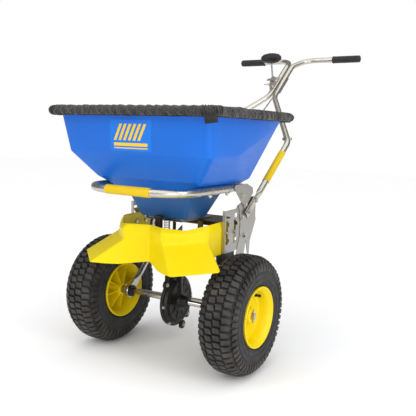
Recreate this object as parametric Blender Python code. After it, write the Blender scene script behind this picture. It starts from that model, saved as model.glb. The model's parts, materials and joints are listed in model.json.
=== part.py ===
"""Walk-behind broadcast spreader: hopper, frame, handle, gearbox, rotor, gate, deflector and wheels.

Metres, +Z up. The machine stands on its two tyres and its rear stand at z = 0. +Y points to the
rear, where the operator walks, and +X to the driven wheel. Everything is laid out from the point
on the ground under the axle, and the whole machine is then moved along Y so that the middle of
its length lies at the origin.
"""

import math

import bmesh
import bpy
from mathutils import Matrix, Vector

# ---------------------------------------------------------------- driving dimensions
GAP = 0.0003
WHEEL_R = 0.165
TRACK_HALF = 0.2329
TYRE_HALF = 0.0575
AXLE_Z = WHEEL_R
AXLE_R = 0.008
AXLE_HALF = 0.272

RIM_TOP_Z = 0.7060
RIM_HALF_X = 0.2422
RIM_FRONT_Y = -0.2130
RIM_REAR_Y = 0.1865
LIP = 0.0200
HOPPER_WALL = 0.0035
CREASE_Z = 0.5930
CREASE_TURN_Y = -0.0600
NECK_Z = 0.4150

HOOP_R = 0.0111
HOOP_HALF_X = 0.1570
HOOP_FRONT_Y = -0.2210
HOOP_Z = 0.5010
HOOP_STEPS = 7

HANDLE_R = 0.0095
HANDLE_X = 0.1735
GRIP_R = 0.0130
GRIP_Y = 0.8370
GRIP_Z = 0.9466
GRIP_OUTER_X = 0.2514
GRIP_INNER_X = 0.1449

SIDE_X = 0.1635
SHEET = 0.0020
STRUT_X = 0.1600
STAND_Y = 0.4850
SLEEVE_R = 0.01225

DEFLECTOR_WALL = 0.0030
SLOT_YS = (0.0165, 0.0610)
SLOT_Z = 0.3790

GEAR_TEETH = 40
PINION_TEETH = 10
GEAR_PITCH_R = 0.0460
PINION_PITCH_R = GEAR_PITCH_R * PINION_TEETH / GEAR_TEETH
SHAFT_R = 0.0050
CASE_SPLIT_X = 0.0120
CASE_LOBES = ((0.0500, 0.1140, 0.0130), (0.0280, 0.0850, 0.0125), (-0.0580, 0.2225, 0.0115))

GATE_Z = 0.4105
GATE_TRAVEL = 0.0300
PORT_R = 0.0130
PORT_XY = ((-0.0300, 0.0220), (0.0300, 0.0220))

# Handle tubes run side by side from LOW to HIGH, as (y, z).
TWIN_LOW = (0.6090, 0.7930)
TWIN_HIGH = (0.7580, 0.9160)
LEVER_X = -0.0280
LEVER_PIVOT = (0.6775, 0.8401)
ROD_X = -0.0325
ROD_PIN = (0.7021, 0.8048)
GATE_TAB_Y = 0.1480

# The machine reaches from the front sleeve to the back of the grips.
AXLE_Y = -0.30375

WHEEL_STEPS = 28
TUBE_SIDES = 10


# ---------------------------------------------------------------- scene and materials
def clear_scene():
    for obj in list(bpy.data.objects):
        bpy.data.objects.remove(obj)


def material(name, colour, roughness, metallic=0.0):
    made = bpy.data.materials.new(name)
    made.use_nodes = True
    shader = made.node_tree.nodes["Principled BSDF"]
    shader.inputs["Base Color"].default_value = (*colour, 1.0)
    shader.inputs["Roughness"].default_value = roughness
    shader.inputs["Metallic"].default_value = metallic
    return made


def add_empty(name, at, parent=None):
    """An empty at a point of the machine; a moving body's empty stands on its joint's axis."""
    empty = bpy.data.objects.new(name, None)
    bpy.context.scene.collection.objects.link(empty)
    empty["at"] = at
    if parent is None:
        empty.location = (at[0], at[1] + AXLE_Y, at[2])
    else:
        empty.parent = parent
        empty.location = Vector(at) - Vector(parent["at"])
    return empty


def add_object(name, bm, look, parent):
    """Makes a node from a mesh drawn in machine coordinates, with its origin at its parent empty."""
    bmesh.ops.recalc_face_normals(bm, faces=bm.faces)
    bmesh.ops.translate(bm, verts=bm.verts, vec=-Vector(parent["at"]))
    mesh = bpy.data.meshes.new(name)
    bm.to_mesh(mesh)
    bm.free()
    mesh.shade_smooth()
    mesh.set_sharp_from_angle(angle=math.radians(35))
    mesh.materials.append(look)
    obj = bpy.data.objects.new(name, mesh)
    bpy.context.scene.collection.objects.link(obj)
    obj.parent = parent
    return obj


def add_cutter(name, bm, parent):
    obj = add_object(name, bm, bpy.data.materials["cutter"], parent)
    obj.hide_render = True
    obj.display_type = "WIRE"
    return obj


def boolean(obj, other, operation="DIFFERENCE"):
    modifier = obj.modifiers.new(operation.lower(), "BOOLEAN")
    modifier.operation = operation
    modifier.object = other


# ---------------------------------------------------------------- mesh helpers
def bridge(bm, first, second):
    """Quads between two closed rings of equal length."""
    count = len(first)
    for i in range(count):
        j = (i + 1) % count
        bm.faces.new((first[i], first[j], second[j], second[i]))


def loft(rings, closed=False, bm=None):
    """Skins a list of rings of points. Open ends get caps; a closed loft joins last to first."""
    bm = bm or bmesh.new()
    made = [[bm.verts.new(point) for point in ring] for ring in rings]
    for first, second in zip(made, made[1:]):
        bridge(bm, first, second)
    if closed:
        bridge(bm, made[-1], made[0])
    else:
        bm.faces.new(made[0])
        bm.faces.new(made[-1])
    return bm


def axis_frame(axis):
    """(along, up, across) unit vectors for a turned shape about X, Y or Z."""
    along = Vector({"X": (1, 0, 0), "Y": (0, 1, 0), "Z": (0, 0, 1)}[axis])
    up = Vector((0, 0, 1)) if axis != "Z" else Vector((1, 0, 0))
    return along, up, along.cross(up)


def turned(profile, centre, axis="X", steps=24, bm=None):
    """Turns (along, radius) points about an axis. An open profile starts and ends on the axis."""
    bm = bm or bmesh.new()
    along, up, across = axis_frame(axis)
    centre = Vector(centre)
    rings = []
    for reach, radius in profile:
        middle = centre + along * reach
        if radius == 0:
            rings.append([bm.verts.new(middle)] * steps)
            continue
        ring = []
        for step in range(steps):
            angle = 2 * math.pi * step / steps
            ring.append(bm.verts.new(middle + (up * math.cos(angle) + across * math.sin(angle)) * radius))
        rings.append(ring)
    pairs = list(zip(rings, rings[1:]))
    if profile[0][1] > 0:
        pairs.append((rings[-1], rings[0]))
    for first, second in pairs:
        for i in range(steps):
            j = (i + 1) % steps
            corners = []
            for vert in (first[i], first[j], second[j], second[i]):
                if vert not in corners:
                    corners.append(vert)
            if len(corners) > 2:
                bm.faces.new(corners)
    return bm


def disc(start, end, radius, centre, axis="X", steps=24, bm=None):
    """A solid cylinder from start to end along an axis."""
    return turned([(start, 0), (start, radius), (end, radius), (end, 0)], centre, axis, steps, bm)


def ring_solid(start, end, inner, outer, centre, axis="X", steps=24, bm=None):
    """A plain tube with an open bore."""
    profile = [(start, inner), (start, outer), (end, outer), (end, inner)]
    return turned(profile, centre, axis, steps, bm)


def box(low, high, bm=None):
    bm = bm or bmesh.new()
    size = [b - a for a, b in zip(low, high)]
    middle = [(a + b) / 2 for a, b in zip(low, high)]
    matrix = Matrix.Translation(middle) @ Matrix.Diagonal((*size, 1))
    bmesh.ops.create_cube(bm, size=1, matrix=matrix)
    return bm


def plate(outline, low_x, high_x, bm=None):
    """A flat plate in the plane of Y and Z, from low_x to high_x; outline holds (y, z) points."""
    bm = bm or bmesh.new()
    low = [bm.verts.new((low_x, y, z)) for y, z in outline]
    high = [bm.verts.new((high_x, y, z)) for y, z in outline]
    bridge(bm, low, high)
    bm.faces.new(low)
    bm.faces.new(high)
    return bm


def slab(outline, low_z, high_z, bm=None):
    """A flat plate in the plane of X and Y; outline holds (x, y) points."""
    bm = bm or bmesh.new()
    low = [bm.verts.new((x, y, low_z)) for x, y in outline]
    high = [bm.verts.new((x, y, high_z)) for x, y in outline]
    bridge(bm, low, high)
    bm.faces.new(low)
    bm.faces.new(high)
    return bm


def arc(centre, radius, start, end, steps):
    """Points (u, v) on an arc, angles in degrees."""
    points = []
    for step in range(steps + 1):
        angle = math.radians(start + (end - start) * step / steps)
        points.append((centre[0] + radius * math.cos(angle), centre[1] + radius * math.sin(angle)))
    return points


def filleted(corners, radii, steps=5):
    """A route of straight runs whose inner corners are rounded to the radii given."""
    points = [Vector(corners[0])]
    for before, corner, after, radius in zip(corners, corners[1:], corners[2:], radii):
        corner = Vector(corner)
        to_before = (Vector(before) - corner).normalized()
        to_after = (Vector(after) - corner).normalized()
        half = to_before.angle(to_after) / 2
        reach = radius / math.tan(half)
        middle = corner + (to_before + to_after).normalized() * (radius / math.sin(half))
        first = corner + to_before * reach - middle
        last = corner + to_after * reach - middle
        for step in range(steps + 1):
            part = step / steps
            span = math.pi - 2 * half
            mix = (first * math.sin((1 - part) * span) + last * math.sin(part * span)) / math.sin(span)
            points.append(middle + mix)
    points.append(Vector(corners[-1]))
    return points


def section_frames(route, side):
    """(point, side, other) at each point of a route, carried along without twist."""
    frames = []
    side = Vector(side)
    for i, point in enumerate(route):
        before = route[max(i - 1, 0)]
        after = route[min(i + 1, len(route) - 1)]
        along = (after - before).normalized()
        side = (side - along * side.dot(along)).normalized()
        frames.append((point, side, along.cross(side)))
    return frames


def tube_rings(route, sizes, side, sides, turn=0.0):
    """Elliptical rings along a route. A size is (half width along side, half width across it)."""
    rings = []
    for (point, first, second), (a, b) in zip(section_frames(route, side), sizes):
        ring = []
        for step in range(sides):
            angle = 2 * math.pi * (step + 0.5) / sides + turn
            ring.append(point + first * (a * math.cos(angle)) + second * (b * math.sin(angle)))
        rings.append(ring)
    return rings


def rod(route, radius, side=(1, 0, 0), sides=TUBE_SIDES, bm=None):
    """A solid round bar along a route."""
    route = [Vector(point) for point in route]
    return loft(tube_rings(route, [(radius, radius)] * len(route), side, sides), bm=bm)


def hose(route, inner, outer, side=(1, 0, 0), sides=TUBE_SIDES):
    """An open sleeve along a route."""
    route = [Vector(point) for point in route]
    outside = tube_rings(route, [(outer, outer)] * len(route), side, sides)
    inside = tube_rings(route, [(inner, inner)] * len(route), side, sides)
    return loft(outside + inside[::-1], closed=True)


def mirrored_names(name):
    """The two sides of a paired piece: (node name, sign of X)."""
    return ((name + "_left", -1), (name + "_right", 1))


# ---------------------------------------------------------------- hopper and cover
def hopper_ring(half_x, front, rear, radius, turn, heights):
    """A rounded rectangle with one extra point in each long side, anticlockwise from above.

    turn is where that point stands along Y. heights gives z from y, so a ring need not be level.
    """
    corners = (
        ((half_x - radius, front + radius), -90),
        ((half_x - radius, rear - radius), 0),
        ((-half_x + radius, rear - radius), 90),
        ((-half_x + radius, front + radius), 180),
    )
    points = []
    for number, (centre, start) in enumerate(corners):
        points += arc(centre, radius, start, start + 90, 4)
        if number == 0:
            points.append((half_x, turn))
        if number == 2:
            points.append((-half_x, turn))
    return [(x, y, heights(y)) for x, y in points]


def crease_height(y):
    """The side crease runs level from the front, then climbs to just under the rear rim."""
    top = RIM_TOP_Z - 0.024
    return CREASE_Z + max(0.0, (y - CREASE_TURN_Y) / (0.187 - CREASE_TURN_Y)) * (top - CREASE_Z)


def level(z):
    return lambda y: z


def hopper_rings(inset):
    """Rings from the rim down to the neck, drawn in by the wall thickness for the inside."""
    t = inset
    rim = (RIM_HALF_X - t, RIM_FRONT_Y + t, RIM_REAR_Y - t, 0.0190)
    crease = (0.2325 - t, -0.1900 + t, 0.1840 - t, 0.0190)
    shoulder = (0.1720 - t, -0.1455 + t, 0.1375 - t, 0.0160)
    throat = (0.1050 - t, -0.0850 + t, 0.0840 - t, 0.0130)
    outlet = (0.0770 - t, -0.0600 + t, 0.0520 - t, 0.0100)
    return [
        hopper_ring(*rim, CREASE_TURN_Y, level(RIM_TOP_Z - 0.0140)),
        hopper_ring(*crease, CREASE_TURN_Y, crease_height),
        hopper_ring(*shoulder, 0.0900, level(0.5260)),
        hopper_ring(*throat, 0.0500, level(0.4780)),
        hopper_ring(*outlet, 0.0200, level(NECK_Z + 1.3 * t)),
    ]


def rim_ring(offset, z):
    return hopper_ring(
        RIM_HALF_X + offset,
        RIM_FRONT_Y - offset,
        RIM_REAR_Y + offset,
        0.0190 + max(0.0, offset) * 0.6,
        CREASE_TURN_Y,
        level(z),
    )


def make_hopper(look, chassis):
    outside = [
        rim_ring(-HOPPER_WALL, RIM_TOP_Z),
        rim_ring(LIP, RIM_TOP_Z),
        rim_ring(LIP, RIM_TOP_Z - 0.012),
        rim_ring(0.0005, RIM_TOP_Z - 0.012),
    ] + hopper_rings(0.0)
    inside = hopper_rings(HOPPER_WALL)
    hopper = add_object("hopper", loft(inside[::-1] + outside), look["blue"], chassis)
    holes = bmesh.new()
    disc(NECK_Z - 0.01, NECK_Z + 0.02, SHAFT_R + 0.0008, (0, 0, 0), "Z", 16, holes)
    for x, y in PORT_XY:
        disc(NECK_Z - 0.01, NECK_Z + 0.02, PORT_R, (x, y, 0), "Z", 16, holes)
    boolean(hopper, add_cutter("cut_hopper_ports", holes, chassis))


def make_cover(look, cover):
    """A fitted cap over the rim: flat top, a deep band all round, open underneath."""
    slack = LIP + 0.0010
    rings = [
        rim_ring(slack, RIM_TOP_Z - 0.0150),
        rim_ring(slack, RIM_TOP_Z + 0.0010),
        rim_ring(-0.030, RIM_TOP_Z + 0.0010),
    ]
    outer = [
        rim_ring(-0.028, RIM_TOP_Z + 0.0110),
        rim_ring(slack + 0.0020, RIM_TOP_Z + 0.0100),
        rim_ring(slack + 0.0085, RIM_TOP_Z + 0.0030),
        rim_ring(slack + 0.0080, RIM_TOP_Z - 0.0150),
    ]
    add_object("hopper_cover", loft(rings[::-1] + outer[::-1]), look["fabric"], cover)


# ---------------------------------------------------------------- frame
def hoop_route():
    rear_y = 0.112
    front = HOOP_FRONT_Y
    corners = [
        (HOOP_HALF_X, rear_y, HOOP_Z),
        (HOOP_HALF_X, front, HOOP_Z),
        (-HOOP_HALF_X, front, HOOP_Z),
        (-HOOP_HALF_X, rear_y, HOOP_Z),
    ]
    return filleted(corners, (0.095, 0.095), HOOP_STEPS)


def make_hoop(look, chassis):
    add_object("hoop_tube", rod(hoop_route(), HOOP_R, (0, 0, 1)), look["steel"], chassis)
    bends = hoop_route()
    straight = bends[HOOP_STEPS + 1 : HOOP_STEPS + 3]
    left = straight[1].lerp(bends[HOOP_STEPS + 3], 0.6)
    right = straight[0].lerp(bends[HOOP_STEPS], 0.6)
    route = [right, *straight, left]
    sleeve = hose(route, HOOP_R + 0.0004, SLEEVE_R, (0, 0, 1), 16)
    add_object("hoop_sleeve", sleeve, look["yellow"], chassis)


def slot_cutter(sign, chassis):
    """The two notched height slots, the sight windows and the bolt holes of a side plate."""
    bm = bmesh.new()
    low, high = sorted((sign * (SIDE_X - 0.004), sign * (SIDE_X + 0.008)))
    half = 0.0060
    for slot_y in SLOT_YS:
        box((low, slot_y - half, 0.3460), (high, slot_y + half, 0.4130), bm)
    return add_cutter("cut_slots", bm, chassis)


def notch_cutter(sign, chassis):
    bm = bmesh.new()
    low, high = sorted((sign * (SIDE_X - 0.004), sign * (SIDE_X + 0.008)))
    for slot_y, reach in zip(SLOT_YS, (0.0085, 0.0105)):
        for step in (-1, 0, 1):
            disc(low, high, 0.0058, (0, slot_y + reach, SLOT_Z + 0.0225 * step), "X", 12, bm)
    return add_cutter("cut_notches", bm, chassis)


def window_cutter(sign, chassis):
    bm = bmesh.new()
    low, high = sorted((sign * (SIDE_X - 0.004), sign * (SIDE_X + 0.008)))
    box((low, 0.0110, 0.4190), (high, 0.0330, 0.4265), bm)
    box((low, 0.0590, 0.4190), (high, 0.0760, 0.4310), bm)
    disc(low, high, 0.0043, (0, *FRAME_BOLT), "X", 12, bm)
    return add_cutter("cut_windows", bm, chassis)


SIDE_FRONT_Y = 0.0065
SIDE_OUTLINE = (
    (SIDE_FRONT_Y, 0.322),
    (0.060, 0.322),
    (0.104, 0.330),
    (0.104, 0.452),
    (0.076, 0.452),
    (0.070, 0.443),
    (SIDE_FRONT_Y, 0.441),
)
LEG_OUTLINE = (
    (0.068, 0.306),
    (0.117, 0.303),
    (0.1265, 0.345),
    (0.140, 0.3015),
    (0.150, 0.300),
    (0.153, 0.340),
    (0.178, 0.385),
    (0.186, 0.402),
    (0.1815, 0.412),
    (0.1815, 0.471),
    (0.150, 0.471),
    (0.078, 0.455),
    (0.091, 0.403),
    (0.090, 0.360),
)
GUSSET_OUTLINE = (
    (0.110, 0.438),
    (0.158, 0.483),
    (0.154, 0.498),
    (0.118, 0.5115),
    (0.050, 0.5115),
    (0.043, 0.503),
)
FRAME_BOLT = (0.0980, 0.4150)
STRUT_BOLT = (0.1180, 0.3600)
GUSSET_BOLT = (0.1100, 0.4515)
HANDLE_LOW = (0.1120, 0.4190)
HANDLE_BEND = (0.3850, 0.6310)
HANDLE_BOLTS = ((0.1280, 0.4314), (0.1650, 0.4602))


def holes_through(obj, name, yz_points, radius, sign, chassis, steps=12):
    """Drills holes along X through a plate or a flattened tube on one side of the frame."""
    bm = bmesh.new()
    start, end = sorted((sign * 0.150, sign * 0.190))
    for y, z in yz_points:
        disc(start, end, radius, (0, y, z), "X", steps, bm)
    boolean(obj, add_cutter(name, bm, chassis))


def make_side_plates(look, chassis):
    for name, sign in mirrored_names("side_plate"):
        low, high = sorted((sign * SIDE_X, sign * (SIDE_X + SHEET)))
        side = add_object(name, plate(SIDE_OUTLINE, low, high), look["sheet"], chassis)
        low, high = sorted((sign * (SIDE_X - 0.0075), sign * (SIDE_X + 0.001)))
        slab = box((low, SIDE_FRONT_Y, 0.322), (high, SIDE_FRONT_Y + SHEET, 0.441))
        flange = add_cutter(name + "_flange", slab, chassis)
        boolean(side, flange, "UNION")
        for cutter in (slot_cutter, notch_cutter, window_cutter):
            boolean(side, cutter(sign, chassis))


def make_legs(look, chassis):
    """Outer leg plates, and the struts that carry the axle bushes."""
    plate_x = SIDE_X + SHEET + GAP
    for name, sign in mirrored_names("leg_plate"):
        low, high = sorted((sign * plate_x, sign * (plate_x + SHEET)))
        leg = add_object(name, plate(LEG_OUTLINE, low, high), look["sheet"], chassis)
        bolts = (FRAME_BOLT, STRUT_BOLT, GUSSET_BOLT, *HANDLE_BOLTS)
        holes_through(leg, "cut_" + name, bolts, 0.0043, sign, chassis)
    stations = (
        ((0.1575, 0.0000, AXLE_Z), (0.0030, 0.0150)),
        ((0.1575, 0.0230, 0.1895), (0.0030, 0.0150)),
        ((0.1570, 0.0380, 0.2060), (0.0085, 0.0095)),
        ((0.1570, 0.0735, 0.2446), (0.0085, 0.0095)),
        ((0.1585, 0.0880, 0.2700), (0.0045, 0.0125)),
        ((STRUT_X, 0.1020, 0.3050), (0.0030, 0.0140)),
        ((STRUT_X, 0.1180, 0.3600), (0.0030, 0.0140)),
        ((STRUT_X, 0.1290, 0.4040), (0.0030, 0.0140)),
    )
    for name, sign in mirrored_names("leg_strut"):
        route = [Vector((sign * x, y, z)) for (x, y, z), _ in stations]
        rings = tube_rings(route, [size for _, size in stations], (1, 0, 0), 10)
        strut = add_object(name, loft(rings), look["steel"], chassis)
        low, high = sorted((sign * 0.1545, sign * 0.1605))
        eye = add_cutter(name + "_eye", disc(low, high, 0.0215, (0, 0, AXLE_Z), "X", 20), chassis)
        boolean(strut, eye, "UNION")
        holes_through(strut, "cut_bore_" + name, ((0, AXLE_Z),), 0.0130, sign, chassis, 20)
        holes_through(strut, "cut_bolt_" + name, (STRUT_BOLT,), 0.0043, sign, chassis)


def add_bolt(name, sign, yz, inner_x, outer_x, radius, look, parent, head=0.0070):
    """A bolt along X with a hexagon head outside and a nut inside, as one solid."""
    thick = 0.0050
    profile = [
        (inner_x - thick, 0),
        (inner_x - thick, head),
        (inner_x, head),
        (inner_x, radius),
        (outer_x, radius),
        (outer_x, head),
        (outer_x + thick * 0.9, head),
        (outer_x + thick * 0.9, 0),
    ]
    profile = [(sign * reach, size) for reach, size in profile]
    bm = turned(profile, (0, *yz), "X", 6)
    add_object(name, bm, look["zinc"], parent)


def make_gussets(look, chassis):
    plate_x = SIDE_X + 2 * SHEET + 2 * GAP
    for name, sign in mirrored_names("gusset"):
        low, high = sorted((sign * (plate_x + 0.0), sign * (plate_x + SHEET)))
        gusset = add_object(name, plate(GUSSET_OUTLINE, low, high), look["sheet"], chassis)
        holes_through(gusset, "cut_" + name, (GUSSET_BOLT, (0.0920, 0.4780)), 0.0043, sign, chassis)


def handle_route():
    """Centreline of the right-hand tube from its flattened lower end to the grip's end."""
    twin_x = 0.0108
    return filleted(
        [
            (HANDLE_X, *HANDLE_LOW),
            (HANDLE_X, *HANDLE_BEND),
            (twin_x, *TWIN_LOW),
            (twin_x, *TWIN_HIGH),
            (0.0340, GRIP_Y, GRIP_Z),
            (GRIP_OUTER_X - 0.004, GRIP_Y, GRIP_Z),
        ],
        (0.070, 0.080, 0.045, 0.058),
        6,
    )


def make_handle(look, chassis):
    bend = handle_route()
    start = bend[0]
    along = (bend[1] - start).normalized()
    flat = [(0.0, 0.0025, 0.0125), (0.083, 0.0025, 0.0125), (0.101, HANDLE_R, HANDLE_R)]
    points = [start + along * reach for reach, _, _ in flat] + bend[1:]
    sizes = [(a, b) for _, a, b in flat] + [(HANDLE_R, HANDLE_R)] * (len(bend) - 1)
    for name, sign in mirrored_names("handle_tube"):
        route = [Vector((sign * p.x, p.y, p.z)) for p in points]
        rings = tube_rings(route, sizes, (1, 0, 0), TUBE_SIDES)
        tube = add_object(name, loft(rings), look["steel"], chassis)
        holes_through(tube, "cut_" + name, HANDLE_BOLTS, 0.0043, sign, chassis)
    for name, sign in mirrored_names("handle_bolt"):
        add_bolt(name, sign, HANDLE_BOLTS[1], SIDE_X + SHEET, HANDLE_X + 0.0028, 0.0040, look, chassis)
    straight_low = Vector((HANDLE_X, *HANDLE_LOW))
    straight_high = Vector((HANDLE_X, *HANDLE_BEND))
    for name, sign in mirrored_names("handle_sleeve"):
        ends = [straight_low.lerp(straight_high, part) for part in (0.434, 0.841)]
        route = [Vector((sign * p.x, p.y, p.z)) for p in ends]
        add_object(name, hose(route, HANDLE_R + 0.0004, 0.0107), look["yellow"], chassis)
    for name, sign in mirrored_names("grip"):
        profile = [
            (GRIP_OUTER_X, 0),
            (GRIP_OUTER_X, GRIP_R * 0.8),
            (GRIP_OUTER_X - 0.004, GRIP_R),
            (GRIP_INNER_X + 0.003, GRIP_R),
            (GRIP_INNER_X, GRIP_R * 0.9),
            (GRIP_INNER_X, HANDLE_R + 0.0004),
            (GRIP_OUTER_X - 0.0035, HANDLE_R + 0.0004),
            (GRIP_OUTER_X - 0.0035, 0),
        ]
        profile = [(sign * reach, size) for reach, size in profile]
        add_object(name, turned(profile, (0, GRIP_Y, GRIP_Z), "X", 16), look["rubber"], chassis)


def make_base(look, chassis):
    """The deck under the hopper, with its rear flange turned down, and the rubber flaps."""
    outline = (
        (-0.1385, 0.0300),
        (0.1385, 0.0300),
        (0.1385, 0.0950),
        (0.1560, 0.0950),
        (0.1560, 0.1500),
        (-0.1560, 0.1500),
        (-0.1560, 0.0950),
        (-0.1385, 0.0950),
    )
    deck = add_object("base_plate", slab(outline, 0.4020, 0.4050), look["dull_steel"], chassis)
    flange = add_cutter("base_flange", box((-0.1560, 0.1475, 0.3700), (0.1560, 0.1500, 0.4040)), chassis)
    boolean(deck, flange, "UNION")
    outline = ((-0.0640, -0.0560), (0.0640, -0.0560), (0.0640, 0.1080), (-0.0640, 0.1080))
    guide = add_object("gate_guide", slab(outline, 0.4062, 0.4082), look["sheet"], chassis)
    rails = bmesh.new()
    for sign in (-1, 1):
        low, high = sorted((sign * 0.0590, sign * 0.0640))
        box((low, -0.0560, 0.4072), (high, 0.0500, NECK_Z - GAP), rails)
    boolean(guide, add_cutter("guide_rails", rails, chassis), "UNION")
    opening = bmesh.new()
    outline = ((-0.0480, -0.0100), (0.0480, -0.0100), (0.0480, 0.0400), (-0.0480, 0.0400))
    slab(outline, 0.4000, 0.4095, opening)
    boolean(guide, add_cutter("guide_opening", opening, chassis))
    shaft_way = disc(0.39, 0.42, SHAFT_R + 0.001, (0, 0, 0), "Z", 16)
    boolean(guide, add_cutter("guide_shaft_way", shaft_way, chassis))
    for name, sign in mirrored_names("side_flap"):
        low, high = sorted((sign * 0.1600, sign * 0.1632))
        outline = ((-0.0290, 0.2940), (0.0660, 0.2940), (0.0660, 0.3215), (-0.0290, 0.3215))
        add_object(name, plate(outline, low, high), look["black"], chassis)


def make_stand(look, chassis):
    """A bent tube from both strut eyes back to the ground, where one of its facets lies flat."""
    side_x = 0.1450
    foot = HANDLE_R * math.cos(math.pi / TUBE_SIDES)
    corners = [
        (side_x, 0.0210, 0.1586),
        (side_x, STAND_Y, foot),
        (-side_x, STAND_Y, foot),
        (-side_x, 0.0210, 0.1586),
    ]
    points = filleted(corners, (0.095, 0.095), 7)
    along = (points[1] - points[0]).normalized()
    lead = [points[0], points[0] + along * 0.030, points[0] + along * 0.048]
    tail = [Vector((-p.x, p.y, p.z)) for p in lead[::-1]]
    route = lead + points[1:-1] + tail
    flat = [(0.0095, 0.0025), (0.0095, 0.0025), (HANDLE_R, HANDLE_R)]
    sizes = flat + [(HANDLE_R, HANDLE_R)] * (len(points) - 2) + flat[::-1]
    start_side = (0, along.z, -along.y)
    tilt = math.atan2(-along.z, along.y)
    bm = loft(tube_rings(route, sizes, start_side, TUBE_SIDES, -tilt))
    add_object("rear_stand", bm, look["steel"], chassis)


# ---------------------------------------------------------------- wheels and axle
RIM_PROFILE = (
    (0.0533, 0.0839),
    (0.0533, 0.0800),
    (0.0400, 0.0690),
    (0.0150, 0.0660),
    (0.0120, 0.0300),
    (0.0300, 0.0210),
    (0.0300, 0.0083),
    (-0.0450, 0.0083),
    (-0.0450, 0.0170),
    (0.0040, 0.0240),
    (0.0070, 0.0630),
    (-0.0400, 0.0690),
    (-0.0533, 0.0800),
    (-0.0533, 0.0839),
    (-0.0470, 0.0839),
    (-0.0430, 0.0775),
    (-0.0300, 0.0725),
    (0.0300, 0.0725),
    (0.0430, 0.0775),
    (0.0470, 0.0839),
)
TYRE_HALF_PROFILE = (
    (0.0000, WHEEL_R),
    (0.0280, WHEEL_R - 0.0008),
    (0.0470, 0.1570),
    (0.0560, 0.1380),
    (TYRE_HALF, 0.1150),
    (0.0525, 0.0900),
    (0.0462, 0.0850),
    (0.0415, 0.0783),
    (0.0310, 0.0741),
    (0.0330, 0.0860),
    (0.0480, 0.1150),
    (0.0430, 0.1420),
    (0.0000, 0.1530),
)


def tyre_profile():
    """The whole section from its half: crown, sidewall and bead, then back along the inside."""
    outer = TYRE_HALF_PROFILE[:9]
    inner = TYRE_HALF_PROFILE[9:]
    right = list(outer) + list(inner)
    left = [(-u, r) for u, r in right[::-1] if u > 0]
    return right + left


def make_wheel(side, sign, look, body):
    centre = (sign * TRACK_HALF, 0, AXLE_Z)
    rim = [(sign * u, r) for u, r in RIM_PROFILE]
    made = add_object("rim_" + side, turned(rim, centre, "X", WHEEL_STEPS), look["yellow"], body)
    stem_at = (0, 0.0270, AXLE_Z + 0.0510)
    low, high = sorted((sign * (TRACK_HALF + 0.0040), sign * (TRACK_HALF + 0.0460)))
    hole = disc(low, high, 0.0055, stem_at, "X", 12)
    boolean(made, add_cutter("cut_stem_" + side, hole, body))
    tyre = [(sign * u, r) for u, r in tyre_profile()]
    add_object("tyre_" + side, turned(tyre, centre, "X", WHEEL_STEPS + 4), look["tyre"], body)
    low, high = sorted((sign * (TRACK_HALF + 0.0090), sign * (TRACK_HALF + 0.0400)))
    add_object("valve_stem_" + side, disc(low, high, 0.0045, stem_at, "X", 10), look["black"], body)


def make_axle(look, axle):
    shaft = disc(-AXLE_HALF, AXLE_HALF, AXLE_R, (0, 0, AXLE_Z), "X", 20)
    shaft = add_object("axle", shaft, look["steel"], axle)
    pin_x = TRACK_HALF + 0.0345
    bm = bmesh.new()
    for sign in (-1, 1):
        disc(-0.02, 0.02, 0.0028, (sign * pin_x, 0, AXLE_Z), "Z", 10, bm)
    boolean(shaft, add_cutter("cut_axle_pins", bm, axle))
    for name, sign in (("retaining_pin", -1), ("drive_pin", 1)):
        pin = disc(-0.0190, 0.0190, 0.0025, (sign * pin_x, 0, AXLE_Z), "Z", 10)
        add_object(name, pin, look["zinc"], axle)
    for name, sign in mirrored_names("axle_collar"):
        low, high = sorted((sign * 0.1690, sign * 0.1870))
        collar = ring_solid(low, high, AXLE_R + GAP, 0.0130, (0, 0, AXLE_Z), "X", 16)
        add_object(name, collar, look["zinc"], axle)


def make_bushes(look, chassis):
    for name, sign in mirrored_names("axle_bush"):
        profile = [
            (0.1480, 0.0083),
            (0.1480, 0.0175),
            (0.1538, 0.0175),
            (0.1538, 0.0125),
            (0.1640, 0.0125),
            (0.1640, 0.0083),
        ]
        profile = [(sign * reach, size) for reach, size in profile]
        add_object(name, turned(profile, (0, 0, AXLE_Z), "X", 20), look["black"], chassis)


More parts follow.
